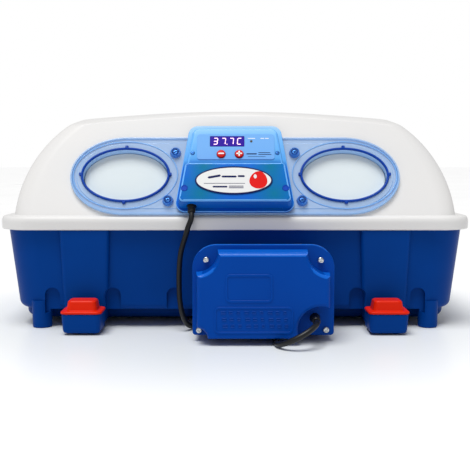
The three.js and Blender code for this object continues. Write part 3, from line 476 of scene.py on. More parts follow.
def coilLine(sign):
    # From the lead's way in, three turns inwards on the table, then outwards on top of them.
    width, down = leads["diameter"], leads["turnsDown"]
    samples = 48
    centre = Vector((sign * leads["coilX"], leads["coilY"], 0))
    line = []
    for i in range(1, round(leads["coilTurns"] * samples) + 1):
        turn = i / samples
        lane = min(turn, down) if turn < down + 0.25 else 2 * down + 0.5 - turn
        lane = min(max(0, lane - 0.25), 2)
        lift = smoothStep((turn - down) / leads["climb"])
        r = leads["coilRadius"] - width * lane
        angle = 2 * math.pi * turn
        x = -sign * r * math.cos(angle)
        line.append(centre + Vector((x, r * math.sin(angle), leads["rest"] + width * lift)))
    return line


def pathLength(line):
    return sum((b - a).length for a, b in zip(line, line[1:]))


def tube(name, line, radius, material):
    # A round skin about the line, turned as little as possible from section to section.
    sides = leads["sides"]
    forward = (line[1] - line[0]).normalized()
    up = forward.orthogonal().normalized()
    outlines = []
    for i, p in enumerate(line):
        before, after = line[max(i - 1, 0)], line[min(i + 1, len(line) - 1)]
        heading = (after - before).normalized()
        up = (up - heading * up.dot(heading)).normalized()
        side = heading.cross(up)
        turns = [2 * math.pi * k / sides for k in range(sides)]
        outlines.append([p + radius * (math.cos(a) * up + math.sin(a) * side) for a in turns])
    points, faces = loft(outlines)
    return smoothed(newPiece(name, points, faces, material), 60)


reliefPlace = {"x": -55.5, "out": 13.4, "length": 26.0}
gland = {"x": 97.0, "z": 29.0, "tip": -196.0, "length": 29.0}
slopeDown = Vector((0, -math.cos(faceSlope), -math.sin(faceSlope)))
controlExit = onFace(reliefPlace["x"], -0.3, reliefPlace["out"])
rest = leads["rest"]
entryX = leads["coilX"] - leads["coilRadius"]
controlRoute = [
    controlExit,
    controlExit + slopeDown * 8,
    (-59.3, front - 9.4, 136),
    (-63.4, front - 10.6, 122),
    (-66.2, front - 10.9, 113),
    (-69.2, front - 11.1, 101),
    (-71, front - 11.4, 82),
    (-71.3, front - 11.6, 62),
    (-70.6, front - 11.6, 42),
    (-67.5, front - 11, 24),
    (-62, front - 5.5, 10),
    (-55, front + 6, rest + 0.4),
    (-42, front + 24, rest),
    (-26, front + 50, rest),
    (-17, front + 85, rest),
    (-15, front + 130, rest),
    (-14.5, front + 190, rest),
    (-entryX, front + 250, rest),
    (-entryX, leads["entryY"] - 40, rest),
    (-entryX, leads["entryY"], rest),
    (-entryX, leads["coilY"], rest),
]
tip = gland["tip"]
# The motor's lead leaves its boot in one wide bend, round and down to the table.
bendRadius = 27
bendStart = tip - 2
bendDrop = gland["z"] - rest
bendAcross = math.sqrt((2 * bendRadius) ** 2 - bendDrop**2)
underX = gland["x"] - bendAcross
motorRoute = [(gland["x"], tip - 0.3, gland["z"])]
for i in range(9):
    turn = math.pi * i / 8
    share = (1 - math.cos(turn)) / 2
    out = bendStart - bendRadius * math.sin(turn)
    motorRoute.append((gland["x"] - bendAcross * share, out, gland["z"] - bendDrop * share))
motorRoute += [
    (underX, bendStart + 12, rest),
    (underX - 1.5, bendStart + 34, rest),
    (underX - 5.5, bendStart + 62, rest),
    (underX - 12, bendStart + 92, rest),
    (underX - 20, bendStart + 122, rest),
    (underX - 27.5, bendStart + 152, rest),
    (underX - 32.5, bendStart + 182, rest),
    (entryX + 0.6, bendStart + 214, rest),
    (entryX, bendStart + 250, rest),
    (entryX, bendStart + 292, rest),
    (entryX, leads["entryY"] - 40, rest),
    (entryX, leads["entryY"], rest),
    (entryX, leads["coilY"], rest),
]


plugShape = {
    # (height, half width, half thickness, corner) from the neck's thin end to the face
    "neck": [(0, 4.4, 4.4, 4.2), (1.2, 4.9, 4.8, 4.4)],
    "body": [(18, 5.6, 5.2, 4.6), (21, 7.6, 5.8, 5), (25, 13, 6.8, 5.4), (29, 15.8, 7.6, 5.6)],
    "head": [(36, 17.2, 8, 5.8), (55, 17.5, 8, 5.6), (57, 17.1, 7.6, 5.4), (58, 16.2, 6.8, 5)],
    "ribs": 5,
    "ribLow": 3.5,
    "ribPitch": 2.8,
    "pinOffset": 9.5,
    "pin": [(0, 56), (2.9, 56), (2.9, 58.4), (2.4, 58.5), (2.4, 74), (1.9, 76.2), (1, 77), (0, 77)],
}


def makePlug(name, sign):
    # A flat two-pin plug on its side, with a ribbed neck round the lead.
    shape = plugShape
    levels = list(shape["neck"])
    for i in range(shape["ribs"]):
        height = shape["ribLow"] + shape["ribPitch"] * i
        grow = 0.04 * (height - shape["ribLow"])
        for offset, sink in ((0, 0), (0.4, 0.7), (1.4, 0.7), (1.8, 0)):
            levels.append((height + offset, 5.0 + grow - sink, 4.9 - sink, 4.5 - sink))
    levels += shape["body"] + shape["head"]
    outlines = [roundedOutline(halfX, halfY, corner, low, steps=6) for low, halfX, halfY, corner in levels]
    y = leads["coilY"] + leads["coilRadius"]
    turn = Matrix.Rotation(-sign * math.pi / 2, 4, "Z") @ Matrix.Rotation(-math.pi / 2, 4, "X")
    place = Matrix.Translation((sign * leads["plugX"], y, leads["plugRest"])) @ turn
    body = smoothed(newPiece(name + "_plug_body", *loft(outlines), cordBlack, place), 38)
    pins = []
    for offset in (-shape["pinOffset"], shape["pinOffset"]):
        pins.append(turnedSolid("pin", shape["pin"], 20, screwSteel, place, (offset, 0)))
    return body, smoothed(joinedPiece(name + "_plug_pins", pins), 38)


def ribbedBoot(name, thin, thick, length, place):
    # A tapered strain relief with grooves between its five ribs, thin end at height 0.
    profile = [(0, 0), (thin - 0.7, 0), (thin, 0.6)]
    ribs = 5
    pitch = (length - 6) / ribs
    for i in range(ribs):
        low = 1.4 + i * pitch
        for offset, sink in ((0.15, 0), (0.3, 0.9), (0.6, 0.9), (0.75, 0)):
            h = low + offset * pitch
            profile.append((thin + (thick - thin) * h / length - sink, h))
    profile += [(thick, length - 3), (thick, length - 0.3), (0, length)]
    return smoothed(turnedSolid(name, profile, 28, cordBlack, place), 38)


for name, sign, route, exitPoint in (
    ("control", -1, controlRoute, controlExit),
    ("motor", 1, motorRoute, Vector(motorRoute[0])),
):
    line = catmullRom(route, leads["spacing"]) + coilLine(sign)
    start = line[-1].copy()
    endX = sign * leads["plugX"]
    lastY = leads["coilY"] + leads["coilRadius"]
    steps = 8
    for i in range(1, steps + 1):
        share = i / steps
        z = start.z - (start.z - leads["plugRest"]) * smoothStep(share)
        line.append(Vector((start.x + (endX - start.x) * share, lastY, z)))
    body, pins = makePlug(name, sign)
    fitted(body, "base", [name + "_plug"])
    fitted(pins, "base")
    lead = tube(name + "_lead", line, leads["diameter"] / 2, cordBlack)
    if name == "control":
        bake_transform(lead)
        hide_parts("control_cord_upper", "control_cord_lower", "control_cord_coil")
    else:
        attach(lead, "base")
        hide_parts("motor_cord", "motor_cord_coil")
    print(name, "lead", round(pathLength(line)), "mm")

place = toFace @ laidPlace(reliefPlace["x"], 0, reliefPlace["out"], -1)
controlBoot = ribbedBoot("control_lead_boot", 4.9, 6.2, reliefPlace["length"], place)
fitted(controlBoot, "lid", ["control_cord_relief"])
place = laidPlace(gland["x"], gland["tip"], gland["z"], -1)
motorBoot = ribbedBoot("motor_lead_boot", 4.8, 6.0, gland["length"], place)
fitted(motorBoot, "base", ["motor_cord_relief"])
print("cords laid")

# Lid: one moulding, a dome on a flange whose skirt hangs over the tub's rim
lidShape = {
    "wall": 3.0,
    "footX": 291.0,
    "footY": 147.0,
    "cornerRadius": 28.0,
    "flangeCorner": 45.0,
    "endRadius": 150.0,  # of the dome's ends, seen from the front
    "crownSag": (11.0, 6.0),  # drop of the crown towards its ends and its long sides
    "crownHalf": (209.0, 83.0),
    "crownBlend": (8, 24),  # how softly the crown meets the ends and the long sides
    "crownLow": 266,  # where the corners start to widen into the crown
    "edgeRound": (4.0, 7.5),  # across and down, round the flange's top edge
    "hemRound": 1.4,
    "bossRadius": 13,
    "bossLow": 281.3,
    "wireHole": (15, 10, 4),
    "wireHeight": 60,  # up the sloping face
}
crownTop = lidHigh.z


def softMin(a, b, band):
    share = max(band - abs(a - b), 0) / band
    return min(a, b) - share * share * band / 4


def domeHalf(z):
    rise = z - flangeTop
    radius = lidShape["endRadius"]
    below = max(crownTop - z, 0)
    endArc = lidShape["footX"] - radius + math.sqrt(max(radius**2 - min(rise, radius) ** 2, 0))
    faceHalf = lidShape["footY"] - rise / math.tan(faceSlope)
    (halfX, halfY), (sagX, sagY) = lidShape["crownHalf"], lidShape["crownSag"]
    blendX, blendY = lidShape["crownBlend"]
    crownX, crownY = halfX * math.sqrt(below / sagX), halfY * math.sqrt(below / sagY)
    return softMin(endArc, crownX, blendX), softMin(faceHalf, crownY, blendY)


def domeOutline(z, inset, drop):
    halfX, halfY = domeHalf(z)
    grow = smoothStep((z - lidShape["crownLow"]) / 20)
    corner = lidShape["cornerRadius"]
    radii = [max(corner + (half - corner) * grow - inset, 0.3) for half in (halfX, halfY)]
    size = [max(half - inset, 0.4) for half in (halfX, halfY)]
    return roundedOutline(*size, tuple(radii), z - drop, (0, centreY), 20)


def domeHeights():
    # Wide steps up the face, and closer ones towards the crown.
    heights = [flangeTop + 3 + 5.8 * i for i in range(20)]
    heights += [heights[-1] + 5 + 1.25 * i for i in range(13)]
    last = crownTop - heights[-1]
    return heights + [crownTop - last * (1 - i / 9) ** 2 for i in range(1, 9)] + [crownTop - 0.01]


def windowHoles(low, high, steps, material):
    shape = windowShape
    holes = []
    for sign in (-1, 1):
        centre = (sign * shape["x"], shape["s"])
        size = (shape["halfX"] + 0.3, shape["halfS"] + 0.3)
        outlines = [ovalOutline(*size, d, centre, steps) for d in (low, high)]
        holes.append(faceSolid("hole", outlines, material))
    return holes


def makeLid():
    shape = lidShape
    wall, hem = shape["wall"], shape["hemRound"]
    halfX, halfY = lidHigh.x, (lidHigh.y - lidLow.y) / 2
    heights = domeHeights()

    def rim(inset, z):
        corner = shape["flangeCorner"] - inset
        return roundedOutline(halfX - inset, halfY - inset, corner, z, (0, centreY), 20)

    def foot(grow, z):
        sizes = [shape[key] + grow for key in ("footX", "footY", "cornerRadius")]
        return roundedOutline(*sizes, z, (0, centreY), 20)

    outlines = [domeOutline(z, wall - 0.6, wall) for z in reversed(heights)]
    roomTop = flangeTop - 3.8
    outlines += [foot(0.6 - wall, roomTop + 1), foot(1.4 - wall, roomTop)]
    outlines += [rim(wall + 1, roomTop), rim(wall, roomTop - 1), rim(wall, flangeFoot + 0.8)]
    outlines += [rim(wall - 0.6, flangeFoot)]
    outlines += [rim(inset, flangeFoot + hem - rise) for inset, rise in reversed(quarterArc(hem))]
    edgeWide, edgeTall = shape["edgeRound"]
    for inset, rise in quarterArc(1, 8):
        outlines.append(rim(inset * edgeWide, flangeTop - edgeTall * (1 - rise)))
    outlines += [foot(2.6, flangeTop), foot(1.5, flangeTop + 0.25), foot(0.7, flangeTop + 0.8)]
    outlines += [domeOutline(flangeTop + 1.6, 0, 0)]
    outlines += [domeOutline(z, 0, 0) for z in heights]
    lid = newPiece("lid_dome", *loft(outlines), lidWhite)
    cuts = windowHoles(-30, 8, 96, lidWhite)
    wires = [roundedOutline(*shape["wireHole"], d, (0, shape["wireHeight"])) for d in (-30, 8)]
    cuts.append(faceSolid("hole", wires, lidWhite))
    bossTop = crownTop - 1.6
    boss = rod("boss", shape["bossRadius"], shape["bossLow"], bossTop, 40, lidWhite, None, (0, centreY))
    shaped(lid, [boss], cuts)
    fitted(smoothed(lid, 30), "lid", ["lid_shell"])


# Windows and the panel round them
windowShape = {
    "x": 144.0,
    "s": 58.5,  # up the slope of the face
    "halfX": 58.5,
    "halfS": 40.0,
    "sealWall": 3.2,
    "sealLow": 3.0,
    "sealFront": 6.5,
    "collarBack": -9.5,
    "collarFront": 2.9,
    "paneBack": -7.7,
    "paneFront": -5.5,
    "ridgeX": 68.5,
    "ridgeS": 49.0,
    "ridgeWall": 1.6,
    "ridgeLow": 3.6,
    "ridgeTop": 4.9,
}
panelShape = {
    "bottom": 1.2,
    "top": 114.0,
    "halfX": 216.5,
    "back": 0.3,
    "floor": 3.1,
    "plateau": 3.9,
    "edge": 5.5,
    "bossRadius": 7.0,
    "bossTop": 9.0,
    "bosses": [(-79, 90.5), (79, 90.5), (-87, 20.5), (87, 20.5)],
}


def newTree(name, labels):
    # A geometry node tree with a number input for each label, and the inputs' identifiers.
    tree = bpy.data.node_groups.new(name, "GeometryNodeTree")
    tree.interface.new_socket("Geometry", in_out="OUTPUT", socket_type="NodeSocketGeometry")
    tree.interface.new_socket("Geometry", in_out="INPUT", socket_type="NodeSocketGeometry")
    ids = {}
    for label in labels:
        socket = tree.interface.new_socket(label, in_out="INPUT", socket_type="NodeSocketFloat")
        ids[label] = socket.identifier
    return tree, ids


def closeTree(tree, geometry, material):
    # Every tree here ends in real geometry with its material.
    whole = addNode(tree, "GeometryNodeRealizeInstances", {"Geometry": geometry})
    ends = {"Geometry": whole.outputs["Geometry"], "Material": material}
    painted = addNode(tree, "GeometryNodeSetMaterial", ends)
    addNode(tree, "NodeGroupOutput", {"Geometry": painted.outputs["Geometry"]})


def runTree(holder, tree, ids, sizes):
    # Gives the tree its sizes and makes its result the holder's own mesh.
    modifier = holder.modifiers.new("tree", "NODES")
    modifier.node_group = tree
    for label, value in sizes.items():
        modifier[ids[label]] = value
    return evaluated(holder)


def ovalTree(name, material):
    # A bar of a rounded section swept round an oval.
    labels = ("Half length", "Half height", "Wall", "Low", "High", "Rounding")
    tree, ids = newTree(name, labels)
    given = addNode(tree, "NodeGroupInput").outputs
    half = {"X": given["Half length"], "Y": given["Half height"], "Z": 1.0}
    scaleBy = addNode(tree, "ShaderNodeCombineXYZ", half)
    circle = addNode(tree, "GeometryNodeCurvePrimitiveCircle", {"Resolution": 128, "Radius": 1.0})
    stretch = {"Geometry": circle.outputs["Curve"], "Scale": scaleBy.outputs[0]}
    oval = addNode(tree, "GeometryNodeTransform", stretch)
    ends = {0: given["High"], 1: given["Low"]}
    tall = addNode(tree, "ShaderNodeMath", ends, operation="SUBTRACT")
    middle = addNode(tree, "ShaderNodeMath", ends, operation="ADD")
    lift = addNode(tree, "ShaderNodeMath", {0: middle.outputs[0], 1: 0.5}, operation="MULTIPLY")
    sides = {"Width": given["Wall"], "Height": tall.outputs[0]}
    section = addNode(tree, "GeometryNodeCurvePrimitiveQuadrilateral", sides)
    corners = {"Radius": given["Rounding"], "Count": 4, "Limit Radius": True}
    corners["Curve"] = section.outputs["Curve"]
    rounded = addNode(tree, "GeometryNodeFilletCurve", corners, mode="POLY")
    sweep = {"Curve": oval.outputs["Geometry"], "Profile Curve": rounded.outputs["Curve"]}
    bar = addNode(tree, "GeometryNodeCurveToMesh", sweep)
    offset = addNode(tree, "ShaderNodeCombineXYZ", {"Z": lift.outputs[0]})
    move = {"Geometry": bar.outputs["Mesh"], "Translation": offset.outputs[0]}
    raised = addNode(tree, "GeometryNodeTransform", move)
    closeTree(tree, raised.outputs["Geometry"], material)
    return tree, ids


def ovalBar(name, centre, sizes, material):
    holder = bpy.data.objects.new(name, bpy.data.meshes.new(name))
    scene.collection.objects.link(holder)
    tree, ids = ovalTree(name + "_sweep", material)
    runTree(holder, tree, ids, {label: value / 1000 for label, value in sizes.items()})
    work = bmesh.new()
    work.from_mesh(holder.data)
    bmesh.ops.recalc_face_normals(work, faces=work.faces)
    work.to_mesh(holder.data)
    work.free()
    metres = toFace.copy()
    metres.translation = toFace.translation / 1000
    holder.data.transform(metres @ Matrix.Translation((centre[0] / 1000, centre[1] / 1000, 0)))
    return smoothed(holder, 40)


def makeWindows():
    shape = windowShape
    wall = shape["sealWall"]
    low, high = shape["paneBack"], shape["paneFront"]
    middle = {"Half length": shape["halfX"] - wall / 2, "Half height": shape["halfS"] - wall / 2}
    seal = {**middle, "Wall": wall, "Low": shape["sealLow"], "High": shape["sealFront"], "Rounding": 1.5}
    collar = {"Low": shape["collarBack"], "High": shape["collarFront"], "Wall": wall - 0.5}
    collar = {**middle, **collar, "Rounding": 0.6}
    ridge = {"Half length": shape["ridgeX"], "Half height": shape["ridgeS"], "Rounding": 0.6}
    ridge.update({"Wall": shape["ridgeWall"], "Low": shape["ridgeLow"], "High": shape["ridgeTop"]})
    paneX, paneS = shape["halfX"] - wall - 0.3, shape["halfS"] - wall - 0.3
    paneLevels = [(0.6, low), (0, low + 0.6), (0, high - 0.7), (0.25, high - 0.2), (0.8, high)]
    tabLevels = [(0.8, 3.2), (0, 3.8), (0, 6.4), (0.7, 7.1)]
    for side, sign in (("left", -1), ("right", 1)):
        centre = (sign * shape["x"], shape["s"])
        piece = ovalBar("window_seal_" + side, centre, seal, ringBlue)
        fitted(piece, "lid", ["window_ring_" + side])
        fitted(ovalBar("window_collar_" + side, centre, collar, collarBlue), "lid")
        outlines = [ovalOutline(paneX - inset, paneS - inset, d, centre, 96) for inset, d in paneLevels]
        pane = smoothed(faceSolid("window_glass_" + side, outlines, paneClear), 40)
        fitted(pane, "lid", ["window_pane_" + side])
        tabs = []  # four small tabs hold the seal
        for i in range(4):
            reach = shape["halfX" if i % 2 == 0 else "halfS"] + 0.1
            outlines = [roundedOutline(2.2 - n, 2.2 - n, 1.2 - n, d, steps=4) for n, d in tabLevels]
            spot = Matrix.Translation((*centre, 0)) @ Matrix.Rotation(math.pi / 2 * i, 4, "Z")
            spot = toFace @ spot @ Matrix.Translation((reach, 0, 0))
            tabs.append(newPiece("tab", *loft(outlines), ringBlue, spot))
        joinedFitted("window_tabs_" + side, tabs, 40, "lid")
        # The ridge takes the darker copy of the panel's blue, a painted shade
        fitted(ovalBar("window_ridge_" + side, centre, ridge, panelPaintedShade), "lid")


def panelOutline(inset, d):
    endX = panelShape["halfX"] - windowShape["x"] - inset
    endS = (panelShape["top"] - panelShape["bottom"]) / 2 - inset
    middle = (panelShape["top"] + panelShape["bottom"]) / 2
    steps = 40
    points = []
    for sign in (1, -1):
        for i in range(steps + 1):
            angle = -math.pi / 2 + math.pi * i / steps
            x = sign * (windowShape["x"] + endX * math.cos(angle))
            points.append((x, middle + sign * endS * math.sin(angle), d))
    return points


def makePanel():
    shape = panelShape
    back, edge, floor = shape["back"], shape["edge"], shape["floor"]
    levels = [(0.5, back), (0, back + 0.5), (0, edge - 0.8), (0.3, edge - 0.2), (0.8, edge)]
    levels += [(1.7, edge), (2.2, edge - 0.3), (2.6, floor + 0.5), (3.2, floor), (8.2, floor)]
    levels += [(8.8, shape["plateau"] - 0.1), (9.4, shape["plateau"])]
    panel = faceSolid("panel_sheet", [panelOutline(i, d) for i, d in levels], panelBlue)
    shaped(panel, [], windowHoles(-1, 8, 128, panelBlue))
    # Painted shade: a darker copy of the panel's blue on its sloping edges
    paintByTilt(panel, faceOut, 12, 80, panelPaintedShade)
    fitted(smoothed(panel, 30), "lid", ["window_panel"])
    bosses = []
    for place in shape["bosses"]:
        r, top = shape["bossRadius"], shape["bossTop"]
        profile = [(0, 3.6), (r + 0.6, 3.6), (r, 4.4), (r - 0.5, top - 0.7), (r - 1, top), (r - 1.5, top)]
        profile += [(r - 1.9, top - 0.5), (r - 1.9, 4.6), (0, 4.6)]
        bosses.append(turnedSolid("boss", profile, 40, bossBlue, toFace, place))
    joinedFitted("panel_bosses", bosses, 35, "lid")


# Screws: one head, set at every place with its axis by a geometry node tree
screwShape = {"slotDepth": 0.12, "slotWidth": 0.2, "slotReach": 0.6}  # shares of radius or height


def screwHead(radius, height):
    profile = [(0, -0.4), (radius * 0.5, -0.4), (radius * 0.5, 0), (radius, 0), (radius, height * 0.4)]
    for i in range(1, 6):
        angle = math.pi / 2 * i / 5
        profile.append((radius * (0.6 + 0.4 * math.cos(angle)), height * (0.4 + 0.6 * math.sin(angle))))
    profile.append((0, height))
    head = turnedSolid("screw_head", profile, 28, screwSteel)
    reach = radius * screwShape["slotReach"]
    width = radius * screwShape["slotWidth"]
    low = height * screwShape["slotDepth"]
    slots = []
    for halfX, halfY in ((reach, width), (width, reach)):
        outlines = [roundedOutline(halfX, halfY, width * 0.6, z, steps=3) for z in (low, height + 1)]
        slots.append(newPiece("slot", *loft(outlines), screwSteel))
    return shaped(head, [], slots)


def placedScrews(name, radius, height, places, material):
    # Places are (point, outward direction, turn in degrees), in millimetres.
    head = screwHead(radius, height)
    data = bpy.data.meshes.new(name)
    data.from_pydata([tuple(p / 1000) for p, _, _ in places], [], [])
    turns = data.attributes.new("turn", "FLOAT_VECTOR", "POINT")
    for i, (_, outward, turn) in enumerate(places):
        spin = Matrix.Rotation(math.radians(turn), 3, "Z").to_quaternion()
        turns.data[i].vector = (outward.to_track_quat("Z", "Y") @ spin).to_euler()
    holder = bpy.data.objects.new(name, data)
    scene.collection.objects.link(holder)
    tree, ids = newTree(name + "_places", ["Size"])
    given = addNode(tree, "NodeGroupInput").outputs
    source = addNode(tree, "GeometryNodeObjectInfo", {"Object": head})
    turn = addNode(tree, "GeometryNodeInputNamedAttribute", {"Name": "turn"}, data_type="FLOAT_VECTOR")
    aim = addNode(tree, "FunctionNodeEulerToRotation", {"Euler": turn.outputs["Attribute"]})
    copies = {"Points": given["Geometry"], "Scale": given["Size"]}
    copies.update({"Instance": source.outputs["Geometry"], "Rotation": aim.outputs["Rotation"]})
    spread = addNode(tree, "GeometryNodeInstanceOnPoints", copies)
    closeTree(tree, spread.outputs["Instances"], material)
    runTree(holder, tree, ids, {"Size": 1.0})
    bpy.data.objects.remove(head)
    return smoothed(holder, 35)


def makeFaceScrews():
    places = [(onFace(x, s, 5.0), faceOut, 20 + 37 * i) for i, (x, s) in enumerate(panelShape["bosses"])]
    # The heads in the bosses' wells take painted shade and a painted blue reflection
    screws = placedScrews("panel_screw_heads", 3.7, 2.4, places, steelPaintedShade)
    fitted(screws, "lid", ["panel_screw_%d" % (i + 1) for i in range(4)])
    unit = unitShape
    x, s = unit["upperScrew"]
    small = [(onFace(sign * x, s, unit["upperFront"] - 0.9), faceOut, 30) for sign in (-1, 1)]
    # These heads too take the painted shade and blue reflection
    screws = placedScrews("control_screw_heads", 2.6, 1.5, small, steelPaintedShade)
    fitted(screws, "lid", ["control_screw_1", "control_screw_2"])
    caps = []
    x, s = unit["lowerScrew"]
    face = unit["lowerFront"]
    profile = [(0, face - 1), (4.2, face - 1), (4.2, face + 0.3), (3.9, face + 0.6), (3.2, face + 0.6)]
    profile += [(2.9, face + 0.1), (0, face + 0.1)]
    for sign in (-1, 1):
        caps.append(turnedSolid("cap", profile, 36, edgeNavy, toFace, (sign * x, s)))
    nodes = ["control_screw_3", "control_screw_4"]
    joinedFitted("control_screw_caps", caps, 35, "lid", nodes)


# Control unit: a clear blue cover with a low upper face and a deep lower box
unitShape = {
    "bottom": 2.8,
    "top": 129.4,
    "halfBottom": 78.4,
    "halfTop": 60.6,
    "back": 6.0,
    "upperFront": 14.5,
    "lowerFront": 28.0,
    "lowerTop": 69.0,
    "lowerBottom": 9.0,
    "upperScrew": (55.8, 85),
    "lowerScrew": (64.5, 27.5),
}
labelShape = {"x": 1.0, "s": 94.0, "halfX": 51.0, "halfS": 18.8, "thick": 0.5}
screenShape = {"x": -10.4, "s": 102.2, "halfX": 22.6, "halfS": 7.6}
buttonShape = {"radius": 5.7, "minus": (-18.2, 83.0), "plus": (5.5, 83.0)}


def trapezium(low, high, inset, radius, d):
    # An outline between two heights of the cover, which narrows upwards.
    unit, steps = unitShape, 8
    share = (unit["halfTop"] - unit["halfBottom"]) / (unit["top"] - unit["bottom"])
    low, high = low + inset, high - inset
    halfLow, halfHigh = (unit["halfBottom"] + share * (s - unit["bottom"]) - inset for s in (low, high))
    corners = [(halfLow, low), (halfHigh, high), (-halfHigh, high), (-halfLow, low)]
    corners = [Vector(corner) for corner in corners]
    points = []
    for i, corner in enumerate(corners):
        before = (corners[i - 1] - corner).normalized()
        after = (corners[(i + 1) % 4] - corner).normalized()
        angle = math.acos(before.dot(after)) / 2
        centre = corner + (before + after).normalized() * radius / math.sin(angle)
        arm = corner + before * radius / math.tan(angle) - centre
        for k in range(steps + 1):
            turn = (math.pi - 2 * angle) * k / steps
            x = arm.x * math.cos(turn) - arm.y * math.sin(turn)
            y = arm.x * math.sin(turn) + arm.y * math.cos(turn)
            points.append((centre.x + x, centre.y + y, d))
    return points


def trapeziumBlock(low, high, levels):
    outlines = [trapezium(low, high, inset, radius, d) for d, inset, radius in levels]
    return faceSolid("block", outlines, housingBlue)


def roundedLevels(start, end, inset, corner, radius, draw=0.0):
    # Levels of a block whose front edge is rounded: (depth, inset, corner radius).
    levels = [(start, inset, corner)]
    for grow, rise in quarterArc(radius, 6):
        levels.append((end - radius + rise, inset + draw + grow, max(corner - grow * 0.6, 1)))
    return levels


def makeHousing():
    unit = unitShape
    low, high, back = unit["bottom"], unit["top"], unit["back"]
    upperFront, lowerFront = unit["upperFront"], unit["lowerFront"]
    boxLow, boxHigh = unit["lowerBottom"] - 5, unit["lowerTop"] + 1
    housing = trapeziumBlock(low, high, roundedLevels(back, back + 3, 0, 13, 1.4))
    upper = trapeziumBlock(low, high, roundedLevels(back + 1, upperFront, 4.5, 10, 3.4, 1.6))
    lower = trapeziumBlock(boxLow, boxHigh, roundedLevels(back + 1, lowerFront, 4, 5, 3.0, 1.6))
    upperRoom = [(back - 1, 7.5, 8), (upperFront - 4.2, 9, 7), (upperFront - 2.4, 11, 6)]
    rooms = [
        trapeziumBlock(low, high, [(back - 1, 3, 10), (back + 1.5, 3, 10)]),
        trapeziumBlock(low, high, upperRoom),
        trapeziumBlock(boxLow, boxHigh, [(back - 1, 6.8, 4), (lowerFront - 2.5, 9, 3)]),
    ]
    radius = buttonShape["radius"] + 0.4
    for name in ("minus", "plus"):
        rooms.append(facePost(*buttonShape[name], back + 2, upperFront + 3, radius, housingBlue))
    rooms.append(screenHole())
    sinks = [(*unit["upperScrew"], upperFront, 3.0), (*unit["lowerScrew"], lowerFront, 4.5)]
    for x, s, depth, hole in sinks:
        for sign in (-1, 1):
            rooms.append(facePost(sign * x, s, depth - 1.2, depth + 4, hole, housingBlue))
    turn = toFace @ laidPlace(reliefPlace["x"], -4, reliefPlace["out"], -1)
    rooms.append(rod("post", 6.7, 0, 34, 36, housingBlue, turn))
    shaped(housing, [upper, lower], rooms)
    housing.name = "control_cover"
    # Painted highlight on the cover's rounded front edges, and painted shade on its sides
    paintByTilt(housing, faceOut, 22, 68, housingPaintedHighlight)
    paintByTilt(housing, faceOut, 72, 100, housingPaintedShade)
    fitted(smoothed(housing, 28, 0.5), "lid", ["control_housing"])


def flatOutline(shape, inset, corner, d):
    half = (shape["halfX"] - inset, shape["halfS"] - inset)
    return roundedOutline(*half, corner, d, (shape["x"], shape["s"]), 8)


def screenHole():
    s = screenShape
    half = (s["halfX"] + 0.3, s["halfS"] + 0.3)
    outlines = [roundedOutline(*half, 1, d, (s["x"], s["s"])) for d in (8, 20)]
    return faceSolid("hole", outlines, housingBlue)


def makeLabel():
    low = unitShape["upperFront"] + 0.3
    top = low + labelShape["thick"]
    outlines = [flatOutline(labelShape, i, 4 - i, d) for i, d in ((0, low), (0, top - 0.15), (0.2, top))]
    label = faceSolid("control_film", outlines, labelBlue)
    cuts = [screenHole()]
    for name in ("minus", "plus"):
        cuts.append(facePost(*buttonShape[name], 10, 20, buttonShape["radius"] + 0.4, labelBlue))
    shaped(label, [], cuts)
    fitted(smoothed(label, 35), "lid", ["control_label"])
    screenTop = top + 0.2
    levels = [(0, unitShape["back"] + 3.3), (0, screenTop - 0.3), (0.3, screenTop)]
    outlines = [flatOutline(screenShape, i, 1.2 - i, d) for i, d in levels]
    screen = faceSolid("display_window", outlines, screenDark)
    fitted(smoothed(screen, 35), "lid", ["display"])
    return top, screenTop


def bar(x0, s0, x1, s1, width, low, high, material):
    # A slim pointed bar between two places on the face.
    along = Vector((x1 - x0, s1 - s0)).normalized()
    across = Vector((-along.y, along.x)) * width / 2
    tip = along * width / 2
    a, b = Vector((x0, s0)), Vector((x1, s1))
    ring = [a - tip, a - across, b - across, b + tip, b + across, a + across]
    return faceSolid("bar", [[(*p, d) for p in ring] for d in (low, high)], material)


digitShape = {"height": 9.0, "width": 5.0, "stroke": 1.1, "lean": 0.1, "pitch": 10.5, "trim": 0.14}
segmentsOf = {"3": "abcdg", "7": "abc", "C": "adef"}


def makeDigits(top):
    # Seven segments a digit, from a at the top round to f, and g across the middle.
    shape = digitShape
    h, w = shape["height"] / 2, shape["width"] / 2
    corners = [(-w, h), (w, h), (w, 0), (w, -h), (-w, -h), (-w, 0)]
    ends = {letter: (*corners[i], *corners[(i + 1) % 6]) for i, letter in enumerate("abcdef")}
    ends["g"] = (-w, 0, w, 0)
    low, high, trim = top - 0.1, top + 0.12, shape["trim"]
    bars = []
    for i, digit in enumerate("377C"):
        middle = screenShape["x"] + 0.5 + (i - 1.5) * shape["pitch"]
        for segment in segmentsOf[digit]:
            x0, s0, x1, s1 = ends[segment]
            ax, bx = x0 + (x1 - x0) * trim, x1 - (x1 - x0) * trim
            az, bz = s0 + (s1 - s0) * trim, s1 - (s1 - s0) * trim
            place = (middle + ax + az * shape["lean"], screenShape["s"] + az)
            place += (middle + bx + bz * shape["lean"], screenShape["s"] + bz)
            bars.append(bar(*place, shape["stroke"], low, high, digitGlow))
    dotX = screenShape["x"] - 0.5 * shape["pitch"] + w + 2.6
    bars.append(facePost(dotX, screenShape["s"] - h, low, high, 0.65, digitGlow))
    joinedFitted("display_digits", bars, 40, "lid")


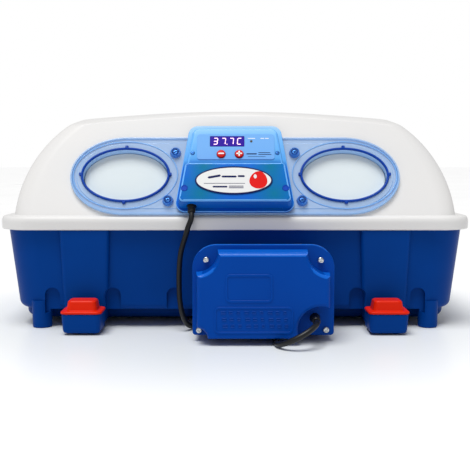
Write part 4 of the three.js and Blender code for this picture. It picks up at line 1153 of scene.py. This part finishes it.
def makeLabelMarks(top):
    low, high = top - 0.05, top + 0.1
    marks = [facePost(21.5, 102.2, low, top + 0.35, 1.7, rotorBlack)]  # a small sensor window
    for x0, x1 in ((17.2, 26.4), (34, 38.4), (40, 44.4)):
        marks.append(bar(x0, 106.6, x1, 106.6, 0.9, low, high, signWhite))
    # Plain strokes, with no lettering
    strokes = [(15.5, 28, 83.4, 1.6), (31, 46, 85.2, 0.9), (31, 47.5, 82.6, 0.9), (17, 40, 79.4, 0.5)]
    for x0, x1, s, width in strokes:
        marks.append(bar(x0, s, x1, s, width, low, high, badgeNavy))
    joinedFitted("label_marks", marks, 40, "lid")


def makeButtons(top):
    r = buttonShape["radius"]
    foot = unitShape["upperFront"] - 2.7
    for name in ("minus", "plus"):
        x, s = buttonShape[name]
        profile = [(0, foot - 1.1), (r + 1.1, foot - 1.1), (r + 1.1, foot), (r, foot), (r, top + 1.1)]
        for i in range(1, 7):
            angle = math.pi / 2 * i / 6
            profile.append((r - 1.1 + 1.1 * math.cos(angle), top + 1.1 + 0.9 * math.sin(angle)))
        profile += [(r * 0.5, top + 2.2), (0, top + 2.3)]
        parts = [turnedSolid("cap", profile, 44, buttonRed, toFace, (x, s))]
        reach, crest = r * 0.56, top + 2.42
        strokes = [(x - reach, s, x + reach, s)]
        if name == "plus":
            strokes.append((x, s - reach, x, s + reach))
        parts += [bar(*stroke, 1.9, crest - 0.5, crest, signWhite) for stroke in strokes]
        piece = name + "_button_cap"
        joinedFitted(piece, parts, 38, name + "_button", ["button_" + name])


badgeShape = {"x": -1.5, "s": 38.0, "halfX": 49.5, "halfS": 19.8, "rim": 1.9}
eggShape = {"x": 31.5, "s": 0.4, "halfX": 11.6, "halfS": 12.6, "taper": 0.16, "lean": 0.12}


def badgeOval(name, halfX, halfS, low, high, material, centre):
    levels = [(0, low), (0, high - 0.12), (0.15, high)]
    return faceSolid(name, [ovalOutline(halfX - i, halfS - i, d, centre, 88) for i, d in levels], material)


def makeBadge():
    base = unitShape["lowerFront"] + 0.3
    x, s, rim = (badgeShape[key] for key in ("x", "s", "rim"))
    hx, hs = badgeShape["halfX"], badgeShape["halfS"]
    parts = [badgeOval("rim", hx, hs, base, base + 1.0, badgeNavy, (x, s))]
    parts.append(badgeOval("field", hx - rim, hs - rim, base + 0.5, base + 1.2, badgeWhite, (x, s)))
    joinedFitted("plain_badge", parts, 38, "lid", ["badge"])
    low, high = base + 1.1, base + 1.34
    eggX, eggS, lean = x + eggShape["x"], s + eggShape["s"], eggShape["lean"]
    egg = []
    steps = 64
    for i in range(steps):  # a plain egg outline, its narrow end up and leaning out
        angle = 2 * math.pi * i / steps
        swell = 1 - eggShape["taper"] * math.sin(angle)
        px, ps = eggShape["halfX"] * swell * math.cos(angle), eggShape["halfS"] * math.sin(angle)
        egg.append((eggX + px * 0.97 + ps * lean, eggS + ps * 0.97 - px * lean))
    marks = [faceSolid("egg", [[(*p, d) for p in egg] for d in (low, high)], badgeRed)]
    glint = (eggX - 4.2, eggS + 4.8)
    marks.append(badgeOval("glint", 2.0, 3.0, high - 0.05, high + 0.1, badgeWhite, glint))
    strokes = [(-32, 3.6, -18, 6.4, 3.0), (-14.5, 5, 2.5, 5, 2.6), (6, 5.6, 13, 5.6, 2.6)]
    strokes += [(-38, -4.6, 14, -4.6, 0.6), (-26, -9.4, -9, -9.4, 2.2), (-6, -8.6, 12, -8.6, 1.0)]
    strokes += [(-6, -10.9, 12, -10.9, 1.0)]
    for x0, s0, x1, s1, width in strokes:
        marks.append(bar(x + x0, s + s0, x + x1, s + s1, width, low, high, badgeNavy))
    joinedFitted("badge_marks", marks, 40, "lid")


# Base tub: a tapered moulding with water channels, filler cups, feet and arched niches
tubShape = {
    "bottom": 24.0,
    "rim": 142.7,
    "corner": 45.0,
    "wall": 3.5,
    "floor": 28.0,
    "halfX": 303.0,
    "halfY": 146.0,
    "draftX": 0.11,  # how far the walls lean in for each millimetre down
    "draftY": 0.04,
    "bottomRadius": 8.0,
    "nichePitch": 79.7,
    "nicheHalf": 9.8,
    "nicheSpring": 44.0,
    "footX": 255.4,
    "footSetBack": 23.0,  # from the flange's edge
    "footRadius": 13.3,
    "ductX": 194.5,
    "cupHalf": 25.2,
    "cupTop": 27.0,
    "cupBehind": 10.0,  # the cups' reach behind and before the flange's edge
    "cupBefore": 35.0,
    "ledgeX": 230.0,  # ledges along the floor carry the egg floor
    "ledgeY": 116.0,
    "ledgeTop": 43.7,
}
channelShape = {"inner": 40, "outer": 288, "halfY": 105, "bottom": 6, "corner": 30, "hem": 9}
pinionAt = (34.0, 82.0)


def tubHalf(z):
    drop = flangeFoot - min(z, flangeFoot)
    return tubShape["halfX"] - drop * tubShape["draftX"], tubShape["halfY"] - drop * tubShape["draftY"]


def tubOutline(z, inset):
    halfX, halfY = tubHalf(z)
    return roundedOutline(halfX - inset, halfY - inset, tubShape["corner"] - inset, z, (0, centreY), 16)


def tubSolid(name, outlines):
    return newPiece(name, *loft(outlines), tubBlue)


def tubBlock(xs, ys, zs):
    half = ((xs[1] - xs[0]) / 2, (ys[1] - ys[0]) / 2)
    centre = ((xs[0] + xs[1]) / 2, (ys[0] + ys[1]) / 2)
    return tubSolid("block", [roundedOutline(*half, 0.4, z, centre, 2) for z in zs])


def channelSolids(sign):
    # A water channel that hangs below the floor: its skin and its room.
    shape, floor = channelShape, tubShape["floor"]
    centre = (sign * (shape["inner"] + shape["outer"]) / 2, centreY)
    halfX, halfY = (shape["outer"] - shape["inner"]) / 2, shape["halfY"]
    low, hem, corner = shape["bottom"], shape["hem"], shape["corner"]

    def level(inset, z, radius):
        return roundedOutline(halfX - inset, halfY - inset, radius, z, centre)

    skin = [level(hem - rise, low + drop, corner - hem + rise) for drop, rise in quarterArc(hem, 6)]
    skin.append(level(0, floor, corner))
    room = [(11, low + 3, 20), (5, low + 6, 25), (3.5, low + 10, 26.5), (3.5, floor + 1, 26.5)]
    return tubSolid("channel", skin), tubSolid("channel_room", [level(*sizes) for sizes in room])


def cupSolids(sign):
    # A filler cup in front of the wall, joined to its channel by a passage under the floor.
    shape = tubShape
    x, top = sign * (shape["ductX"] - 1), shape["cupTop"]
    back, nose = front + shape["cupBehind"], front - shape["cupBefore"]
    half, depth = shape["cupHalf"], (back - nose) / 2

    def level(inset, z, corner):
        return roundedOutline(half - inset, depth - inset, corner, z, (x, (nose + back) / 2), 8)

    skin = [(4.6, 2.6, 4), (3, 3.2, 5), (1.9, 4.6, 5.6), (1.4, 7, 6), (0, top - 0.6, 7), (0.5, top, 6.6)]
    room = [(4.2, 7, 4), (2.6, top - 0.6, 4.4), (2.2, top + 1, 4.6)]
    channelFront = centreY - channelShape["halfY"]
    joins = [tubSolid("cup", [level(*sizes) for sizes in skin])]
    joins.append(tubBlock([x - 22, x + 22], [back - 8, channelFront + 12], [8, shape["floor"]]))
    cuts = [tubSolid("cup_room", [level(*sizes) for sizes in room])]
    cuts.append(tubBlock([x - 19, x + 19], [back - 12, channelFront + 13], [11, 22]))
    return joins, cuts


def ductSolids(sign):
    # A shallow duct that runs up the wall above the cup.
    bottom, floor, high = tubShape["bottom"], tubShape["floor"], flangeFoot - 0.5

    def level(z, inset, half):
        centre = (sign * tubShape["ductX"], centreY - tubHalf(z)[1] + 13)
        return roundedOutline(half - inset, 20 - inset, 5, z, centre, 8)

    skin = [(bottom + 1, 3, 28.5), (bottom + 2.4, 0.9, 28.6), (bottom + 5, 0, 28.8), (high, 0, 32.5)]
    room = [(floor + 3, 3.5, 28.8), (high, 3.5, 32.5), (flangeFoot + 2, 4.5, 32.5)]
    duct = tubSolid("duct", [level(*sizes) for sizes in skin])
    return duct, tubSolid("duct_room", [level(*sizes) for sizes in room])


def nicheSolids(x, side):
    # An arched niche in the front wall, or in the back wall for -1, and the block that lines it.
    half, spring, low = tubShape["nicheHalf"], tubShape["nicheSpring"], tubShape["bottom"] - 4
    wallY = centreY - side * tubShape["halfY"]
    arch = []
    for grow, reach in ((0, 9), (0, -0.2), (0.5, -0.9), (1.6, -1.4), (1.6, -6)):
        wide, y = half + grow, wallY + side * reach
        ring = [(x - wide, y, low), (x + wide, y, low)]
        turns = [math.pi * k / 16 for k in range(17)]
        ring += [(x + wide * math.cos(a), y, spring + wide * math.sin(a)) for a in turns]
        arch.append(ring)
    ys = sorted(wallY + side * reach for reach in (6, 12))
    liner = tubBlock([x - 13, x + 13], ys, [tubShape["floor"] - 1, spring + 13])
    return tubSolid("niche", arch), liner


def makeTub():
    shape = tubShape
    bottom, floor, wall, rim = (shape[key] for key in ("bottom", "floor", "wall", "rim"))
    radius = shape["bottomRadius"]
    outlines = [tubOutline(bottom + drop, radius - rise) for drop, rise in quarterArc(radius, 8)]
    outlines += [tubOutline(z, 0) for z in (60, 100, flangeFoot, rim - 1)]
    outlines.append(tubOutline(rim, 0.8))
    tub = tubSolid("tub_moulding", outlines)
    room = [(floor, wall + 3), (floor + 0.9, wall + 0.9), (floor + 3, wall)]
    room += [(flangeFoot, wall), (rim + 1, wall)]
    hollows = [tubSolid("room", [tubOutline(*level) for level in room])]
    joins, liners, cuts = [], [], []
    r, setBack = shape["footRadius"], shape["footSetBack"]
    foot = [(0, 0), (r - 2.2, 0), (r - 1.2, 0.4), (r - 0.75, 1.4), (r, 36), (0, 36)]
    for sign in (-1, 1):
        channel, channelRoom = channelSolids(sign)
        cup, cupRoom = cupSolids(sign)
        duct, ductRoom = ductSolids(sign)
        joins += [channel, *cup, duct]
        hollows += [channelRoom, ductRoom]
        cuts += cupRoom
        for y in (front + setBack, 2 * centreY - front - setBack):
            joins.append(turnedSolid("foot", foot, 48, tubBlue, None, (sign * shape["footX"], y)))
    for i in range(-3, 4):
        for side in (1, -1):
            niche, liner = nicheSolids(i * shape["nichePitch"], side)
            cuts.append(niche)
            liners.append(liner)
    for y in (centreY - shape["ledgeY"], centreY + shape["ledgeY"]):
        xs = [-shape["ledgeX"], shape["ledgeX"]]
        liners.append(tubBlock(xs, [y - 1.5, y + 1.5], [floor - 1, shape["ledgeTop"]]))
    shaft = laidPlace(pinionAt[0], centreY - shape["halfY"] - 30, pinionAt[1], -1)
    cuts.append(rod("shaft_hole", 5, 0, 60, 24, tubBlue, shaft))
    shaped(tub, joins, hollows)
    shaped(tub, liners, cuts)
    fitted(smoothed(tub, 28), "base", ["base_tub"])


def makeCaps():
    step = 6.3  # the raised middle stands in from the brim
    # (inset, height, corner) from the plug's foot out to the brim and up to the top
    levels = [(step + 3.6, 14, 4), (step + 3.2, 12, 5), (step + 2.3, 0, 5.4), (1.0, 0, 6.4)]
    levels += [(0.2, 0.5, 7), (0, 1.4, 7.2), (0.1, 2.3, 7), (0.6, 3.1, 6.8), (1.4, 3.4, 6.2)]
    levels += [(step - 0.6, 3.5, 6.4), (step - 0.1, 3.8, 6.2), (step + 0.2, 4.6, 6)]
    levels.append((step + 1.5, 12.2, 6))
    levels += [(step + 1.6 + grow, 12.8 + rise, 5.6 - grow * 0.4) for grow, rise in quarterArc(3.4)]
    for side in ("left", "right"):
        low, high = span("filler_cap_" + side)
        centre = ((low.x + high.x) / 2, (low.y + high.y) / 2)
        halfX, halfY = (high.x - low.x) / 2, (high.y - low.y) / 2
        outlines = []
        for inset, rise, corner in levels:
            outlines.append(roundedOutline(halfX - inset, halfY - inset, corner, low.z + rise, centre, 10))
        cap = newPiece("orange_cap_" + side, *loft(outlines), capOrange)
        fitted(smoothed(cap, 40), "cap_" + side, ["filler_cap_" + side])


# Motor box: a back box and a cover with a flange plate, a bulge and scooped corners
boxShape = {
    "low": 7.8,
    "bigCorner": 29.0,
    "smallCorner": 4.0,
    "plate": 3.0,
    "bulgeX": 33.6,
    "bulgeHalf": 80.6,
    "bulgeLow": 7.5,
    "bulgeHigh": 113.0,
    "bulgeCorner": 7.0,
    "lowDraft": 0.5,  # its underside leans and rounds less than its sides
    "backInset": 1.5,
    "edge": 5.4,
    "wall": 2.6,
    "scoopFlare": 4.6,
    "lineRise": 0.8,  # of the raised lines on the front
    "screws": [(-34.6, 100), (103.2, 99.6), (-43.6, 14.2), (110.6, 14.6)],
}


def makeMotorCover():
    shape = boxShape
    low, high = span("motor_box_cover")
    coverFront, plateBack = low.y, high.y
    plateFront = plateBack - shape["plate"]
    big, small, edge, wall = (shape[key] for key in ("bigCorner", "smallCorner", "edge", "wall"))

    def plateRing(inset, y):
        sides = (low.x + inset, high.x - inset, shape["low"] + inset, high.z - inset)
        return cornered(*sides, (small, small, big - inset, big - inset), y, 14)

    def bulgeRing(inset, y, corner=shape["bulgeCorner"]):
        x, half = shape["bulgeX"], shape["bulgeHalf"] - inset
        foot = shape["bulgeLow"] + inset * shape["lowDraft"]
        return cornered(x - half, x + half, foot, shape["bulgeHigh"] - inset, (corner,) * 4, y, 8)

    def scoopTool(x, z, radius, extra):
        # Its mouth flares, so that the edge it leaves on the front is a rounded one.
        flare, back = shape["scoopFlare"], plateBack + 2
        wide, throat = radius + extra + 1.2, back - coverFront - flare
        end = back - coverFront + 12
        profile = [(0, 0), (radius + extra, 0), (wide, throat)]
        profile += [(wide + grow, throat + rise) for grow, rise in quarterArc(flare, 7)[1:]]
        profile += [(wide + flare + 0.4, end), (0, end)]
        return turnedSolid("scoop", profile, 72, motorBlue, laidPlace(x, back, z, 1))

    levels = [(0.6, plateBack), (0, plateBack - 0.6), (0, plateFront + 1.2)]
    levels += [(0.35, plateFront + 0.35), (1.2, plateFront)]
    plate = newPiece("plate", *loft([plateRing(*level) for level in levels]), motorBlue)
    levels = [(0, plateBack), (1.6, coverFront + edge)]
    levels += [(1.6 + grow, coverFront + edge - rise) for grow, rise in quarterArc(edge, 7)[1:]]
    cover = newPiece("motor_cover", *loft([bulgeRing(*level) for level in levels]), motorBlue)
    levels = [(wall, plateBack + 1, 5), (wall + 2, coverFront + edge, 5), (wall + 4, coverFront + wall, 5)]
    room = newPiece("room", *loft([bulgeRing(*level) for level in levels]), motorBlue)
    left, right = shape["bulgeX"] - shape["bulgeHalf"], shape["bulgeX"] + shape["bulgeHalf"]
    top, foot = shape["bulgeHigh"] - 2, shape["bulgeLow"]
    scoops = [(left + 1, top, 25), (right - 1, top, 26), (left, foot, 13.5), (right - 12, foot + 12, 26.5)]
    shaped(room, [], [scoopTool(*scoop, wall) for scoop in scoops])
    shaped(cover, [], [scoopTool(*scoop, 0) for scoop in scoops])
    holes = [room]
    for x, z in shape["screws"]:
        holes.append(rod("hole", 2.2, 0, 5, 24, motorBlue, laidPlace(x, plateBack + 1, z, 1)))
    leadWay = laidPlace(gland["x"], plateBack + 1, gland["z"], 1)
    holes.append(rod("hole", 6.3, 0, 5, 32, motorBlue, leadWay))
    shaped(cover, [plate], holes)
    # The rounded top edge faces up and forwards; the lighter blue given to it there is a painted
    # highlight.
    paintByTilt(cover, Vector((0, -0.62, 0.78)), -1, 39, motorPaintedHighlight)
    fitted(smoothed(cover, 30), "base", ["motor_box_cover"])
    return coverFront, plateFront


def makeCoverLines(coverFront):
    # Two plain frames and some short ribs, raised on the cover's front.
    rise = boxShape["lineRise"]

    def frameBar(x0, z0, x1, z1, corner, width):
        levels = [(0, 0.1), (0, 0.3 - rise), (0.3, -rise)]
        levels += [(width - 0.3, -rise), (width, 0.3 - rise), (width, 0.1)]
        outlines = []
        for grow, out in levels:
            sides = (x0 + grow, x1 - grow, z0 + grow, z1 - grow)
            outlines.append(cornered(*sides, (corner - grow,) * 4, coverFront + out, 6))
        return newPiece("frame", *loft(outlines, ring=True), motorBlue)

    lines = [frameBar(-11.5, 52.6, 44.6, 86.5, 6, 2.8), frameBar(-24.6, 15.4, 69, 47.6, 6, 2.4)]
    for row, z in enumerate((40.5, 32.5, 24.5)):
        for i in range(9):
            x = -17 + i * 9.2 + row * 1.1
            lines.append(frameBar(x, z - 1.7, x + 6.4 - (i % 3), z + 1.7, 0.8, 0.75))
    joinedFitted("cover_raised_lines", lines, 40, "base")


def makeMotorCase():
    low, high = span("motor_box_back")
    small, big = boxShape["smallCorner"], boxShape["bigCorner"] - boxShape["backInset"]

    def ring(inset, y):
        sides = (low.x + inset, high.x - inset, low.z + inset, high.z - inset)
        return cornered(*sides, (small, small, big - inset, big - inset), y, 14)

    levels = [(3, high.y - 3), (3, low.y), (0.4, low.y), (0, low.y + 0.4)]
    levels += [(0, high.y - 0.8), (0.8, high.y)]
    case = newPiece("motor_case", *loft([ring(*level) for level in levels]), motorBlue)
    shaft = laidPlace(pinionAt[0], high.y - 10, pinionAt[1], -1)
    shaped(case, [], [rod("hole", 5, 0, 20, 24, motorBlue, shaft)])
    fitted(smoothed(case, 30), "base", ["motor_box_back"])


def makeCoverScrews(plateFront):
    outward = Vector((0, -1, 0))
    places = []
    for i, (x, z) in enumerate(boxShape["screws"]):
        places.append((Vector((x, plateFront - 0.3, z)), outward, 15 + 40 * i))
    screws = placedScrews("cover_screw_heads", 3.8, 2.6, places, screwSteel)
    fitted(screws, "base", ["cover_screw_%d" % (i + 1) for i in range(4)])


makeLid()
makePanel()
makeWindows()
makeHousing()
labelTop, screenTop = makeLabel()
makeDigits(screenTop)
makeLabelMarks(labelTop)
makeButtons(labelTop)
makeBadge()
makeFaceScrews()
print("lid and control unit made")
makeTub()
makeCaps()
coverFront, plateFront = makeMotorCover()
makeCoverLines(coverFront)
makeMotorCase()
makeCoverScrews(plateFront)
print("base made")

# The pieces inside keep their own shape and take a finish.
nodeFinishes = {
    "circuit_board": boardGreen,
    "control_base": panelBlue,
    "fan_motor": motorGrey,
    "fan_rotor": rotorBlack,
    "fan_guard": innerWhite,
    "heater": heaterSteel,
    "temperature_sensor": screwSteel,
    "egg_floor": innerWhite,
    "egg_tray": innerWhite,
    "drive_pinion": innerWhite,
    "drive_shaft": screwSteel,
    "gear_motor": motorGrey,
}
nodeFinishes.update({"egg_divider_%d" % (i + 1): innerWhite for i in range(8)})
for name, material in nodeFinishes.items():
    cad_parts[name].data.materials.clear()
    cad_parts[name].data.materials.append(material)

# Floor: the table is painted a soft grey round the object, a painted shade, and clears to white further
# out
table = {"half": 20000, "greyTo": 0.22, "whiteFrom": 0.52, "grey": "e2e6e8", "white": "ffffff"}
tableMaterial = finish("pale_table", "ffffff", "fdfdfd", 0.3, 400, 0.0, 0.4)
half = table["half"]
corners = [(-half, -half, 0), (half, -half, 0), (half, half, 0), (-half, half, 0)]
newPiece("floor", corners, [(0, 1, 2, 3)], tableMaterial)
tree = tableMaterial.node_tree
place = addNode(tree, "ShaderNodeTexCoord").outputs["Object"]
away = addNode(tree, "ShaderNodeVectorMath", {0: place}, operation="LENGTH")
limits = {"Value": away.outputs["Value"], "From Min": table["greyTo"], "From Max": table["whiteFrom"]}
share = addNode(tree, "ShaderNodeMapRange", limits, interpolation_type="SMOOTHSTEP")
tones = {"Factor": share.outputs["Result"], "A": colour(table["grey"]), "B": colour(table["white"])}
tone = addNode(tree, "ShaderNodeMix", tones, data_type="RGBA")
tree.links.new(tone.outputs["Result"], tree.nodes["Principled BSDF"].inputs["Base Color"])

# Light: a soft key from above the camera's left, in a white room
studio = {"ambient": 0.42, "sun": 2.95, "sunSpread": 34, "sunFrom": (-0.14, -0.24, 0.95)}
world = bpy.data.worlds.new("studio")
scene.world = world
world.use_nodes = True
tree = world.node_tree
seen = addNode(tree, "ShaderNodeLightPath").outputs["Is Camera Ray"]
power = addNode(tree, "ShaderNodeMapRange", {"Value": seen, "To Min": studio["ambient"], "To Max": 1.0})
tree.links.new(power.outputs["Result"], tree.nodes["Background"].inputs["Strength"])
tree.nodes["Background"].inputs["Color"].default_value = (1, 1, 1, 1)
sun = bpy.data.lights.new("soft_key", "SUN")
sun.energy = studio["sun"]
sun.angle = math.radians(studio["sunSpread"])
lamp = bpy.data.objects.new("soft_key", sun)
scene.collection.objects.link(lamp)
lamp.rotation_euler = Vector(studio["sunFrom"]).to_track_quat("Z", "Y").to_euler()
